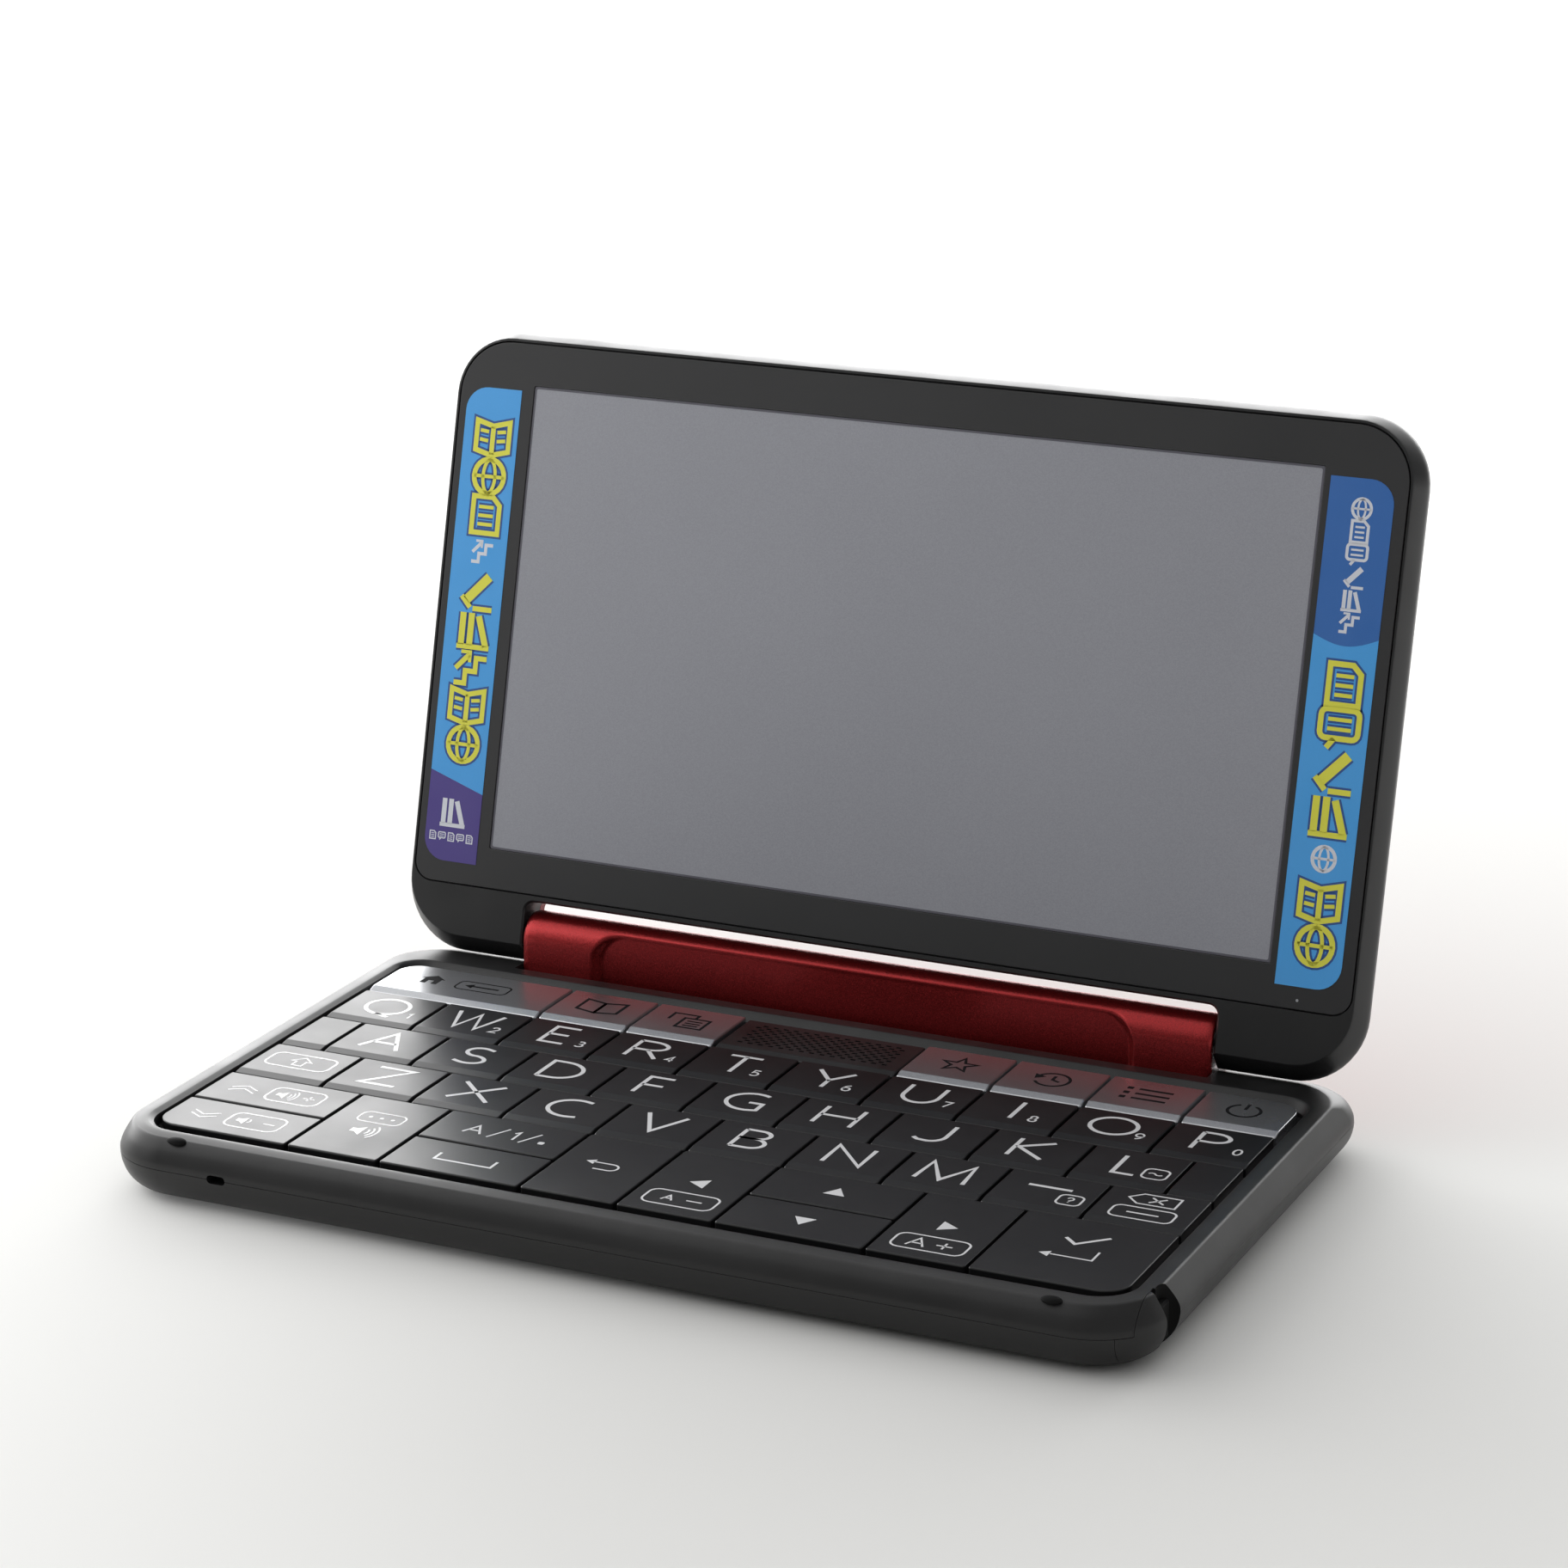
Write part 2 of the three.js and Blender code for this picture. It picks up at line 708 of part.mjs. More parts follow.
function boardRectangle() {
  return {
    x0: -halfWidth + sideWall + boardMargin,
    x1: halfWidth - railWidth - boardMargin / 2,
    y0: -baseReach + sideWall + boardMargin,
    y1: -bayDepth - sideWall - boardMargin / 2,
  };
}

// The circuit board with its key contacts, and the speaker that sits on it under the grille.
function circuitBoard() {
  const area = boardRectangle();
  const sheet = plate(
    roundedShape(area.x0, area.x1, area.y0, area.y1, frontCornerRadius / 2),
    boardTop - boardThickness, boardTop,
  );
  const cell = capRectangle(grilleCell);
  const x = (cell.x0 + cell.x1) / 2;
  const y = (cell.y0 + cell.y1) / 2;
  const speaker = block(
    x - speakerLength / 2, x + speakerLength / 2, y - speakerDepth / 2, y + speakerDepth / 2,
    boardTop - boardThickness / 2, boardTop + speakerHeight,
  );
  return join(sheet, speaker);
}

function batteryPack() {
  const area = coverRectangle(-coverLip - batteryMargin);
  const bottom = footHeight + coverThickness + seatGap;
  const top = boardTop - boardThickness - seatGap;
  return plate(roundedShape(area.x0, area.x1, area.y0, area.y1, coverLip), bottom, top);
}

function batteryCover() {
  const area = coverRectangle(0);
  const screwX = area.x0 + coverScrewInset;
  return cut(
    coverBlock(0, footHeight, footHeight + coverThickness),
    post(screwHeadRadius, screwX, (area.y0 + area.y1) / 2, -overrun, footHeight + screwHeadDepth),
  );
}

// Stylus: its cap is the front right corner of the base, with a neck in the finger notch.
function stylus(form) {
  const behind = block(
    -halfWidth - overrun, halfWidth + overrun, capRear, baseEarRadius + overrun,
    -overrun, rimHeight + overrun,
  );
  const upperLeft = block(
    -halfWidth - overrun, halfWidth - capUpperInset, -baseReach - overrun, capRear + overrun,
    partingHeight - seamGap, rimHeight + overrun,
  );
  const lowerLeft = block(
    -halfWidth - overrun, halfWidth - capLowerInset, -baseReach - overrun, capRear + overrun,
    -overrun, rimHeight + overrun,
  );
  const cap = cut(form, behind, upperLeft, lowerLeft);
  const neckRight = halfWidth - neckInset;
  const neck = block(
    neckRight - neckWidth, neckRight, capRear - stylusClearance, notchRear - stylusClearance,
    partingHeight - neckBelowParting, partingHeight + neckAboveParting,
  );
  const tipStart = capRear + stylusLength - stylusTipLength;
  const shaft = rodY(stylusRadius, capRear - stylusClearance, tipStart, stylusX, stylusHeight);
  const tip = rodY(
    stylusRadius, tipStart - seamGap, capRear + stylusLength, stylusX, stylusHeight, stylusTipRadius,
  );
  return join(cap, neck, shaft, tip);
}

// Barrel: it joins the base to the lid and turns on both hinge axes.
function barrelShell() {
  const inner = barrelHalf - barrelEndChamferRun;
  const body = skin([
    stadiumRing(barrelRadius - barrelEndChamfer, -barrelHalf),
    stadiumRing(barrelRadius, -inner),
    stadiumRing(barrelRadius, inner),
    stadiumRing(barrelRadius - barrelEndChamfer, barrelHalf),
  ]);
  const pocket = stadiumShape(barrelRadius - barrelWall);
  const middle = (lowerAxisHeight + upperAxisHeight) / 2;
  return cut(
    body,
    bar(pocket, -barrelHalf - overrun, -barrelHalf + pocketDepth),
    bar(pocket, barrelHalf - pocketDepth, barrelHalf + overrun),
    rodX(cableBoreRadius, -barrelHalf, barrelHalf, 0, middle),
    barrelRecess(),
  );
}

// The long shallow recess in the barrel's front. Its floor runs parallel to the barrel's surface.
function barrelRecess() {
  const bottom = lowerAxisHeight - barrelRadius + recessMargin;
  const top = upperAxisHeight + barrelRadius - recessMargin;
  const reach = barrelHalf - recessInset;
  const geometry = new THREE.ExtrudeGeometry(
    roundedShape(-reach, reach, bottom, top, recessCornerRadius),
    { depth: barrelRadius + overrun, bevelEnabled: false, curveSegments: cornerSteps },
  );
  geometry.rotateX(Math.PI / 2);
  const core = bar(stadiumShape(barrelRadius - recessDepth), -barrelHalf, barrelHalf);
  return cut(solid(geometry), core);
}

// One friction hinge: a plate in the barrel's end with a pin for the base and one for the lid.
function hingeUnit(side) {
  const outer = barrelHalf - seatGap / 2;
  const plateEnds = [side * (outer - plateThickness), side * outer];
  const pinEnds = [side * (outer - plateThickness / 2), side * (bayHalf + hingePinReach)];
  const carrier = bar(
    stadiumShape(barrelRadius - barrelWall - seatGap), Math.min(...plateEnds), Math.max(...plateEnds),
  );
  const pins = [lowerAxisHeight, upperAxisHeight].map((height) => (
    rodX(hingePinRadius, Math.min(...pinEnds), Math.max(...pinEnds), 0, height)
  ));
  return join(carrier, ...pins);
}

// Lid, drawn closed and face down with Y = 0 and Z = 0 on the upper axis.
function lidForm() {
  const extent = { x0: -lidHalf, x1: lidHalf, y0: -lidReach, y1: lidEarReach };
  const radii = { front: lidCornerRadius, rear: lidCornerRadius };
  const faceShares = [[1, 1], [0.93, 0.78], [0.66, 0.36], [0.26, 0.05]];
  const backShares = [[0.26, 0.05], [0.66, 0.3], [0.9, 0.66], [1, 1]];
  const face = faceShares.map(([down, inward]) => ({
    z: lidFace * down,
    side: lidFaceInsetSide * inward,
    front: lidFaceInsetFar * inward,
    rear: lidFaceInsetEar * inward,
  }));
  const back = backShares.map(([up, inward]) => ({
    z: lidBack * up,
    side: lidBackInsetSide * inward,
    front: lidBackInsetFar * inward,
    rear: lidBackInsetEar * inward,
  }));
  const bay = plate(
    roundedShape(-bayHalf, bayHalf, -barrelRadius - lidBayClearance, lidEarReach + overrun, lidBayCornerRadius),
    lidFace - overrun, lidBack + overrun,
  );
  return cut(levelSkin(extent, radii, [...face, ...back]), bay);
}

function lidSlice(form, z0, z1) {
  return form.intersect(block(
    -lidHalf - overrun, lidHalf + overrun, -lidReach - overrun, lidEarReach + overrun, z0, z1,
  ));
}

function bezelShape(grow) {
  return roundedShape(
    -bezelHalf - grow, bezelHalf + grow, bezelFar - grow, bezelNear + grow,
    bezelCornerRadius + grow, bezelLowerCornerRadius + grow,
  );
}

function moduleBlock(grow, z0, z1) {
  return block(
    -screenHalf - moduleMargin - grow, screenHalf + moduleMargin + grow,
    screenFar - moduleMargin - grow, screenNear + moduleMargin + grow, z0, z1,
  );
}

function lidFrame(form) {
  const axle = [-1, 1].map((side) => {
    const ends = [side * (bayHalf - overrun), side * (bayHalf + hingePinReach + seatGap)];
    return rodX(hingePinRadius + hingePinClearance, Math.min(...ends), Math.max(...ends), 0, 0);
  });
  return cut(
    lidSlice(form, lidFace - overrun, frameTop),
    plate(bezelShape(seatGap / 2), lidFace - overrun, bezelBack + seatGap),
    moduleBlock(seatGap, bezelBack, frameTop + overrun),
    ...axle,
  );
}

function bezelPanel() {
  const opening = block(
    -screenHalf, screenHalf, screenFar, screenNear, lidFace - overrun, bezelBack + overrun,
  );
  return cut(plate(bezelShape(0), lidFace, bezelBack), opening);
}

function displayPanel() {
  const glass = block(
    -screenHalf + screenEdgeGap, screenHalf - screenEdgeGap,
    screenFar + screenEdgeGap, screenNear - screenEdgeGap,
    lidFace + screenDrop, bezelBack + 2 * seatGap,
  );
  return join(glass, moduleBlock(0, bezelBack + seatGap, frameTop - seatGap / 2));
}

// Finishes
const finishes = {
  darkPlastic: { color: 0x2e2e30, roughness: 0.55, metalness: 0 },
  bezelPlastic: { color: 0x333436, roughness: 0.6, metalness: 0 },
  keyPlastic: { color: 0x303033, roughness: 0.45, metalness: 0 },
  silverKey: { color: 0x9a9ca2, roughness: 0.3, metalness: 0.7 },
  redMetallic: { color: 0x9c2026, roughness: 0.35, metalness: 0.5 },
  display: { color: 0x85878d, roughness: 0.5, metalness: 0 },
  board: { color: 0x2f6a3c, roughness: 0.6, metalness: 0 },
  battery: { color: 0xb9bcc4, roughness: 0.4, metalness: 0.2 },
  steel: { color: 0xa8a8ac, roughness: 0.35, metalness: 1 },
};

function piece(name, manifold, finish) {
  const mesh = new THREE.Mesh(geometryOf(manifold), new THREE.MeshStandardMaterial(finishes[finish]));
  mesh.name = name;
  return mesh;
}

function allKeys() {
  return [...namedKeys, ...letterKeys()];
}

function keyboard() {
  const group = new THREE.Group();
  for (const key of allKeys()) {
    group.add(piece(`key_${key.name}`, keySolid(key), key.row === 0 ? 'silverKey' : 'keyPlastic'));
  }
  return group;
}

function base() {
  const form = baseForm();
  const group = new THREE.Group();
  group.add(
    piece('base_upper_case', upperCase(form), 'darkPlastic'),
    piece('base_lower_case', lowerCase(form), 'darkPlastic'),
    piece('circuit_board', circuitBoard(), 'board'),
    piece('battery_pack', batteryPack(), 'battery'),
    piece('battery_cover', batteryCover(), 'darkPlastic'),
    piece('stylus', stylus(form), 'darkPlastic'),
  );
  return group;
}

function barrel() {
  const group = new THREE.Group();
  group.add(
    piece('barrel_shell', barrelShell(), 'redMetallic'),
    piece('hinge_unit_left', hingeUnit(-1), 'steel'),
    piece('hinge_unit_right', hingeUnit(1), 'steel'),
  );
  return group;
}

// The lid turns up from its closed place about the upper axis.
function lid() {
  const form = lidForm();
  const group = new THREE.Group();
  group.add(
    piece('lid_frame', lidFrame(form), 'darkPlastic'),
    piece('bezel_panel', bezelPanel(), 'bezelPlastic'),
    piece('display_panel', displayPanel(), 'display'),
    piece('lid_back_cover', lidSlice(form, backCoverBottom, lidBack + overrun), 'redMetallic'),
  );
  group.position.z = upperAxisHeight;
  group.rotation.x = -openAngle;
  return group;
}

// The object's origin is on the table, under the middle of all that it covers.
const dictionary = new THREE.Group();
dictionary.add(base(), keyboard(), barrel(), lid());
dictionary.updateMatrixWorld(true);
const covered = new THREE.Box3().setFromObject(dictionary, true);
dictionary.position.y = -(covered.min.y + covered.max.y) / 2;
dictionary.updateMatrixWorld(true);

export default dictionary;
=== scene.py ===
import json
import logging
import math
from dataclasses import dataclass
from enum import Enum
from functools import cache
from typing import Callable, Iterable, Sequence

import bmesh
import bpy
from mathutils import Matrix, Vector


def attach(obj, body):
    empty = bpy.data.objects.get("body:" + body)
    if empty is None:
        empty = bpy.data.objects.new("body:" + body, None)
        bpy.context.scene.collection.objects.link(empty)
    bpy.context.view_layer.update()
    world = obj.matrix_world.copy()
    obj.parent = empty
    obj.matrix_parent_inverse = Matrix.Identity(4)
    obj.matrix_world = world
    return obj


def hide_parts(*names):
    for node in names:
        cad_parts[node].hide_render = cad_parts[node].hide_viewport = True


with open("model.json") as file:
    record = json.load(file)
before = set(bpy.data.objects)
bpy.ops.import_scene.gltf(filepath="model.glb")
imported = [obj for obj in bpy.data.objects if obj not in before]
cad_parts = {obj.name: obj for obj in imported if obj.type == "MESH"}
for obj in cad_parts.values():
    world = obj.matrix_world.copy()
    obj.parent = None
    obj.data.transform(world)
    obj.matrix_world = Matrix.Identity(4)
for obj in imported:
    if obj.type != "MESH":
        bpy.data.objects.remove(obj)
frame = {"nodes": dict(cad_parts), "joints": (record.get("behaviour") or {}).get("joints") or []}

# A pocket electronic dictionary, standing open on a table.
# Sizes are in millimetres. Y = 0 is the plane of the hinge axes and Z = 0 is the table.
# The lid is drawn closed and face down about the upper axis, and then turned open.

LOG = logging.getLogger("electronic_dictionary")
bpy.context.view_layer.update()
MM = 0.001
QUARTER = math.pi / 2
EDGE_TURNS = [QUARTER * step / 4 for step in range(5)]
SMOOTH_ANGLE = math.radians(36)
OVERRUN = 3.0
PIN_BORE = 1.58
PIN_REACH = 10.3

JOINTS = {joint["name"]: joint for joint in frame["joints"]}
LOWER_AXIS = Vector(JOINTS["barrel_hinge"]["pos_m"])
UPPER_AXIS = Vector(JOINTS["lid_hinge"]["pos_m"])
OPEN_ANGLE = -math.radians(JOINTS["lid_hinge"]["range_deg"][0])
LOWER_HEIGHT = LOWER_AXIS.z / MM
UPPER_HEIGHT = UPPER_AXIS.z / MM

STANDING = Matrix.Translation((0, LOWER_AXIS.y, 0)) @ Matrix.Scale(MM, 4)
OPENED = Matrix.Translation(UPPER_AXIS) @ Matrix.Rotation(-OPEN_ANGLE, 4, "X") @ Matrix.Scale(MM, 4)

Flat = tuple[float, float]
Path = list[Flat]
Place = tuple[float, float, float]
Colour = tuple[float, float, float]
Sockets = bpy.types.bpy_prop_collection


class Body(Enum):
    """The bodies that pieces ride on."""

    BASE = "base"
    BARREL = "barrel"
    LID = "lid"
    STYLUS = "stylus"


class Slot(Enum):
    """The record's material slots."""

    CASE = "dark_case_plastic"
    BEZEL = "bezel_plastic"
    KEY = "dark_key_plastic"
    SILVER = "silver_key_plastic"
    RED = "red_metallic_paint"
    SCREEN = "display_screen"
    BOARD = "circuit_board"
    FOIL = "battery_foil"
    STEEL = "hinge_steel"


# ---- Meshes ----


@dataclass(frozen=True)
class Area:
    """A level rectangle with four round corners."""

    x0: float
    x1: float
    y0: float
    y1: float
    front_left: float
    front_right: float
    rear_right: float
    rear_left: float

    @classmethod
    def even(cls, x0: float, x1: float, y0: float, y1: float, front: float, rear: float | None = None) -> "Area":
        """Makes an area whose left and right corners are alike.

        Args:
            x0: Left side.
            x1: Right side.
            y0: Front side.
            y1: Rear side.
            front: Radius of the front corners.
            rear: Radius of the rear corners, or None for the same.

        Returns:
            The area.
        """
        back = front if rear is None else rear
        return cls(x0, x1, y0, y1, front, front, back, back)

    def drawn_in(self, side: float, front: float | None = None, rear: float | None = None) -> "Area":
        """Draws the sides inwards, and the corners with them.

        Args:
            side: How far the left and right sides move in.
            front: How far the front moves, or None for the same.
            rear: How far the rear moves, or None for the same.

        Returns:
            The smaller area.
        """
        ahead = side if front is None else front
        behind = side if rear is None else rear
        radii = [max(r - side, 0.02) for r in (self.front_left, self.front_right, self.rear_right, self.rear_left)]
        return Area(self.x0 + side, self.x1 - side, self.y0 + ahead, self.y1 - behind, *radii)

    def ring(self, height: float, steps: int = 12) -> list[Vector]:
        """Gives the points round the area.

        Args:
            height: Z of the points.
            steps: Steps in each corner.

        Returns:
            The points, always 4 * (steps + 1).
        """
        corners = (
            (self.x1 - self.front_right, self.y0 + self.front_right, self.front_right, -QUARTER),
            (self.x1 - self.rear_right, self.y1 - self.rear_right, self.rear_right, 0.0),
            (self.x0 + self.rear_left, self.y1 - self.rear_left, self.rear_left, QUARTER),
            (self.x0 + self.front_left, self.y0 + self.front_left, self.front_left, 2 * QUARTER),
        )
        points = []
        for x, y, radius, start in corners:
            for step in range(steps + 1):
                angle = start + QUARTER * step / steps
                points.append(Vector((x + radius * math.cos(angle), y + radius * math.sin(angle), height)))
        return points

    def path(self, steps: int = 6) -> Path:
        """Gives the area's outline as a flat path."""
        return [(point.x, point.y) for point in self.ring(0.0, steps)]


class Form:
    """A mesh in the making: points in millimetres and faces, each with the number of its finish."""

    def __init__(self) -> None:
        """Starts empty."""
        self.points: list[Vector] = []
        self.faces: list[list[int]] = []
        self.finishes: list[int] = []

    @classmethod
    def lofted(cls, rings: Sequence[Sequence[Vector]], cyclic: bool = False) -> "Form":
        """Makes a form that is one skin over rings of points."""
        made = cls()
        made.loft(rings, cyclic=cyclic)
        return made

    def face(self, corners: Sequence[int], finish: int = 0) -> None:
        """Adds one face."""
        self.faces.append(list(corners))
        self.finishes.append(finish)

    def loft(self, rings: Sequence[Sequence[Vector]], finish: int = 0, cyclic: bool = False) -> None:
        """Adds a closed skin over rings of points.

        Args:
            rings: The rings, each with as many points.
            finish: The number of its finish.
            cyclic: Whether the last ring joins the first, instead of both ends being capped.
        """
        count = len(rings[0])
        start = len(self.points)
        for ring in rings:
            self.points.extend(Vector(point) for point in ring)
        for span in range(len(rings) if cyclic else len(rings) - 1):
            low = start + span * count
            high = start + ((span + 1) % len(rings)) * count
            for i in range(count):
                j = (i + 1) % count
                self.face((low + i, low + j, high + j, high + i), finish)
        if not cyclic:
            last = start + (len(rings) - 1) * count
            self.face(range(start + count - 1, start - 1, -1), finish)
            self.face(range(last, last + count), finish)

    def slab(self, outline: Iterable[Flat], low: float, high: float, finish: int = 0) -> None:
        """Adds a level plate of any outline between two heights."""
        self.loft([ring_at(2, z, outline) for z in (low, high)], finish)

    def ribbon(
        self, path: Sequence[Flat], width: float, low: float, high: float, finish: int = 0, closed: bool = False
    ) -> None:
        """Adds a flat line of even width along a path.

        Args:
            path: The middle of the line.
            width: Its width.
            low: Lower height.
            high: Upper height.
            finish: The number of its finish.
            closed: Whether the path joins its own start.
        """
        given = [Vector(point) for point in path]
        points = [
            point for i, point in enumerate(given)
            if (i == 0 and not closed) or (point - given[i - 1]).length > 1e-4
        ]
        count = len(points)
        sections = []
        for i, point in enumerate(points):
            before = points[i - 1] if closed or i > 0 else None
            after = points[(i + 1) % count] if closed or i + 1 < count else None
            ahead = (after - point).normalized() if after is not None else (point - before).normalized()
            behind = (point - before).normalized() if before is not None else ahead
            mitre = ahead + behind
            mitre = mitre.normalized() if mitre.length > 1e-4 else ahead
            across = Vector((-mitre.y, mitre.x))
            stretch = min(1 / max(across.dot(Vector((-ahead.y, ahead.x))), 0.1), 2.2)
            reach = across * (width / 2 * stretch)
            left, right = point + reach, point - reach
            sections.append([
                Vector((left.x, left.y, low)), Vector((right.x, right.y, low)),
                Vector((right.x, right.y, high)), Vector((left.x, left.y, high)),
            ])
        self.loft(sections, finish, cyclic=closed)

    def rod(
        self, start: Sequence[float], end: Sequence[float], radii: Sequence[Flat], sides: int = 32, finish: int = 0
    ) -> None:
        """Adds a round turned rod.

        Args:
            start: Middle of its first end.
            end: Middle of its last end.
            radii: Pairs of a share of the length and the radius there.
            sides: Sides of the round.
            finish: The number of its finish.
        """
        first, last = Vector(start), Vector(end)
        axis = (last - first).normalized()
        across = axis.orthogonal().normalized()
        other = axis.cross(across)
        rings = []
        for share, radius in radii:
            middle = first.lerp(last, share)
            rings.append([middle + across * u + other * v for u, v in oval(0.0, 0.0, radius, radius, sides)])
        self.loft(rings, finish)

    def bore(self, start: Sequence[float], end: Sequence[float], radius: float, sides: int = 24) -> None:
        """Adds an even rod between two points, for cutting with."""
        self.rod(start, end, ((0, radius), (1, radius)), sides)

    def block(self, low: Sequence[float], high: Sequence[float]) -> None:
        """Adds a square block between two corners."""
        self.slab([(low[0], low[1]), (high[0], low[1]), (high[0], high[1]), (low[0], high[1])], low[2], high[2])

    def mesh(self) -> bmesh.types.BMesh:
        """Gives the form as an editable mesh, in millimetres, with its faces turned outwards."""
        made = bmesh.new()
        corners = [made.verts.new(point) for point in self.points]
        for face, finish in zip(self.faces, self.finishes):
            made.faces.new([corners[i] for i in face]).material_index = finish
        bmesh.ops.remove_doubles(made, verts=made.verts, dist=1e-5)
        bmesh.ops.recalc_face_normals(made, faces=made.faces)
        return made

    def item(self, name: str, place: Matrix) -> bpy.types.Object:
        """Makes the form into an object in metres."""
        return item_from(self.mesh(), name, place)


def item_from(made: bmesh.types.BMesh, name: str, place: Matrix) -> bpy.types.Object:
    """Turns an editable mesh into an object.

    Args:
        made: The mesh in millimetres. It is freed.
        name: The object's name.
        place: From millimetres to the row frame in metres.

    Returns:
        The object, linked to the scene.
    """
    made.transform(place)
    data = bpy.data.meshes.new(name)
    made.to_mesh(data)
    made.free()
    made_object = bpy.data.objects.new(name, data)
    bpy.context.scene.collection.objects.link(made_object)
    return made_object


def add_form(made: bmesh.types.BMesh, form: Form, place: Matrix = Matrix()) -> None:
    """Adds a form, moved to its place, to an editable mesh."""
    added = form.mesh()
    added.transform(place)
    data = bpy.data.meshes.new("added")
    added.to_mesh(data)
    added.free()
    made.from_mesh(data)
    bpy.data.meshes.remove(data)


def carve(piece: bpy.types.Object, tools: Sequence[Form], place: Matrix, mode: str = "DIFFERENCE") -> None:
    """Cuts a piece with other solids.

    Args:
        piece: The piece to cut.
        tools: The cutting solids.
        place: From millimetres to the row frame in metres.
        mode: DIFFERENCE or INTERSECT.
    """
    cutters = [tool.item("cutter", place) for tool in tools]
    for cutter in cutters:
        cut = piece.modifiers.new("cut", "BOOLEAN")
        cut.operation = mode
        cut.solver = "EXACT"
        cut.object = cutter
    made = bpy.data.meshes.new_from_object(piece.evaluated_get(bpy.context.evaluated_depsgraph_get()))
    piece.modifiers.clear()
    old = piece.data
    piece.data = made
    bpy.data.meshes.remove(old)
    for cutter in cutters:
        bpy.data.objects.remove(cutter)


def ring_at(axis: int, place: float, outline: Iterable[Flat]) -> list[Vector]:
    """Stands a flat outline square to an axis, at a place along it."""
    return [Vector((*pair[:axis], place, *pair[axis:])) for pair in outline]


def arc(
    x: float, y: float, across: float, along: float, start: float, end: float, steps: int = 12
) -> Path:
    """Gives points along part of an ellipse.

    Args:
        x: Its middle.
        y: Its middle.
        across: Its half width.
        along: Its half height.
        start: First angle in degrees.
        end: Last angle in degrees.
        steps: Steps along it.

    Returns:
        The points.
    """
    turns = [math.radians(start + (end - start) * i / steps) for i in range(steps + 1)]
    return [(x + across * math.cos(turn), y + along * math.sin(turn)) for turn in turns]


def oval(x: float, y: float, across: float, along: float, steps: int = 28) -> Path:
    """Gives points round a whole ellipse."""
    turns = [2 * math.pi * i / steps for i in range(steps)]
    return [(x + across * math.cos(turn), y + along * math.sin(turn)) for turn in turns]


def boxed(width: float, height: float, radius: float, x: float = 0.0, y: float = 0.0) -> Path:
    """Gives the outline of a rounded rectangle about a middle."""
    return Area.even(x - width / 2, x + width / 2, y - height / 2, y + height / 2, radius).path(4)


def moved(path: Iterable[Flat], x: float, y: float, scale: float = 1.0) -> Path:
    """Scales a path and then moves it."""
    return [(x + px * scale, y + py * scale) for px, py in path]


# ---- Finishes ----


class Wiring:
    """A node tree that is being wired."""

    def __init__(self, tree: bpy.types.NodeTree) -> None:
        """Starts on an empty tree."""
        self.tree = tree
        tree.nodes.clear()

    def put(self, target: bpy.types.NodeSocket, value: object) -> None:
        """Links an input to a socket, or sets its value."""
        if isinstance(value, bpy.types.NodeSocket):
            self.tree.links.new(value, target)
        else:
            target.default_value = value

    def node(self, kind: str, inputs: dict | None = None, **settings: object) -> bpy.types.Node:
        """Adds a node.

        Args:
            kind: The node's type, without the word that all shader nodes begin with.
            inputs: Values or sockets for its inputs, by name or number.
            settings: Its other properties.

        Returns:
            The node.
        """
        made = self.tree.nodes.new(kind if kind.startswith("NodeGroup") else f"ShaderNode{kind}")
        for name, value in settings.items():
            setattr(made, name, value)
        for name, value in (inputs or {}).items():
            self.put(made.inputs[name], value)
        return made

    def maths(self, operation: str, first: object, second: object = 0.0, clamp: bool = False) -> bpy.types.NodeSocket:
        """Adds a sum of two values or sockets and gives its result."""
        return self.node("Math", {0: first, 1: second}, operation=operation, use_clamp=clamp).outputs[0]

    def vectors(self, operation: str, first: object, second: object) -> bpy.types.NodeSocket:
        """Adds a sum of two vectors and gives its result."""
        outputs = self.node("VectorMath", {0: first, 1: second}, operation=operation).outputs
        return outputs["Value" if operation in ("DOT_PRODUCT", "DISTANCE") else "Vector"]

    def span(
        self, value: object, low: float, high: float, to_low: float = 0.0, to_high: float = 1.0
    ) -> bpy.types.NodeSocket:
        """Maps a value from one span to another."""
        limits = {"Value": value, "From Min": low, "From Max": high, "To Min": to_low, "To Max": to_high}
        return self.node("MapRange", limits).outputs["Result"]

    def uneven(self, grain: Sockets, middle: float, spread: float) -> bpy.types.NodeSocket:
        """Spreads a value about its middle by the grain's patches."""
        return self.span(grain["Patches"], 0.3, 0.7, middle - spread, middle + spread)

    def blend(self, share: object, first: object, second: object, kind: str = "MIX") -> bpy.types.NodeSocket:
        """Mixes two colours by a share."""
        made = self.node("Mix", data_type="RGBA", blend_type=kind)
        for name, value in (("Factor", share), ("A", first), ("B", second)):
            self.put([s for s in made.inputs if s.name == name and s.enabled][0], value)
        return [s for s in made.outputs if s.enabled][0]

    def varied(self, share: object, colour: Colour, spread: float) -> bpy.types.NodeSocket:
        """Makes a colour darker and lighter by a share."""
        return self.blend(share, tint(colour, 1 - spread), tint(colour, 1 + spread))

    def place(self) -> bpy.types.NodeSocket:
        """Gives the place on the object itself."""
        return self.node("TexCoord").outputs["Object"]

    def normal(self) -> bpy.types.NodeSocket:
        """Gives the surface's direction."""
        return self.node("NewGeometry").outputs["Normal"]

    def noise(self, place: object, scale: object, detail: float, roughness: float = 0.5) -> bpy.types.NodeSocket:
        """Adds soft noise and gives its value."""
        inputs = {"Vector": place, "Scale": scale, "Detail": detail, "Roughness": roughness}
        return self.node("TexNoise", inputs).outputs["Fac"]


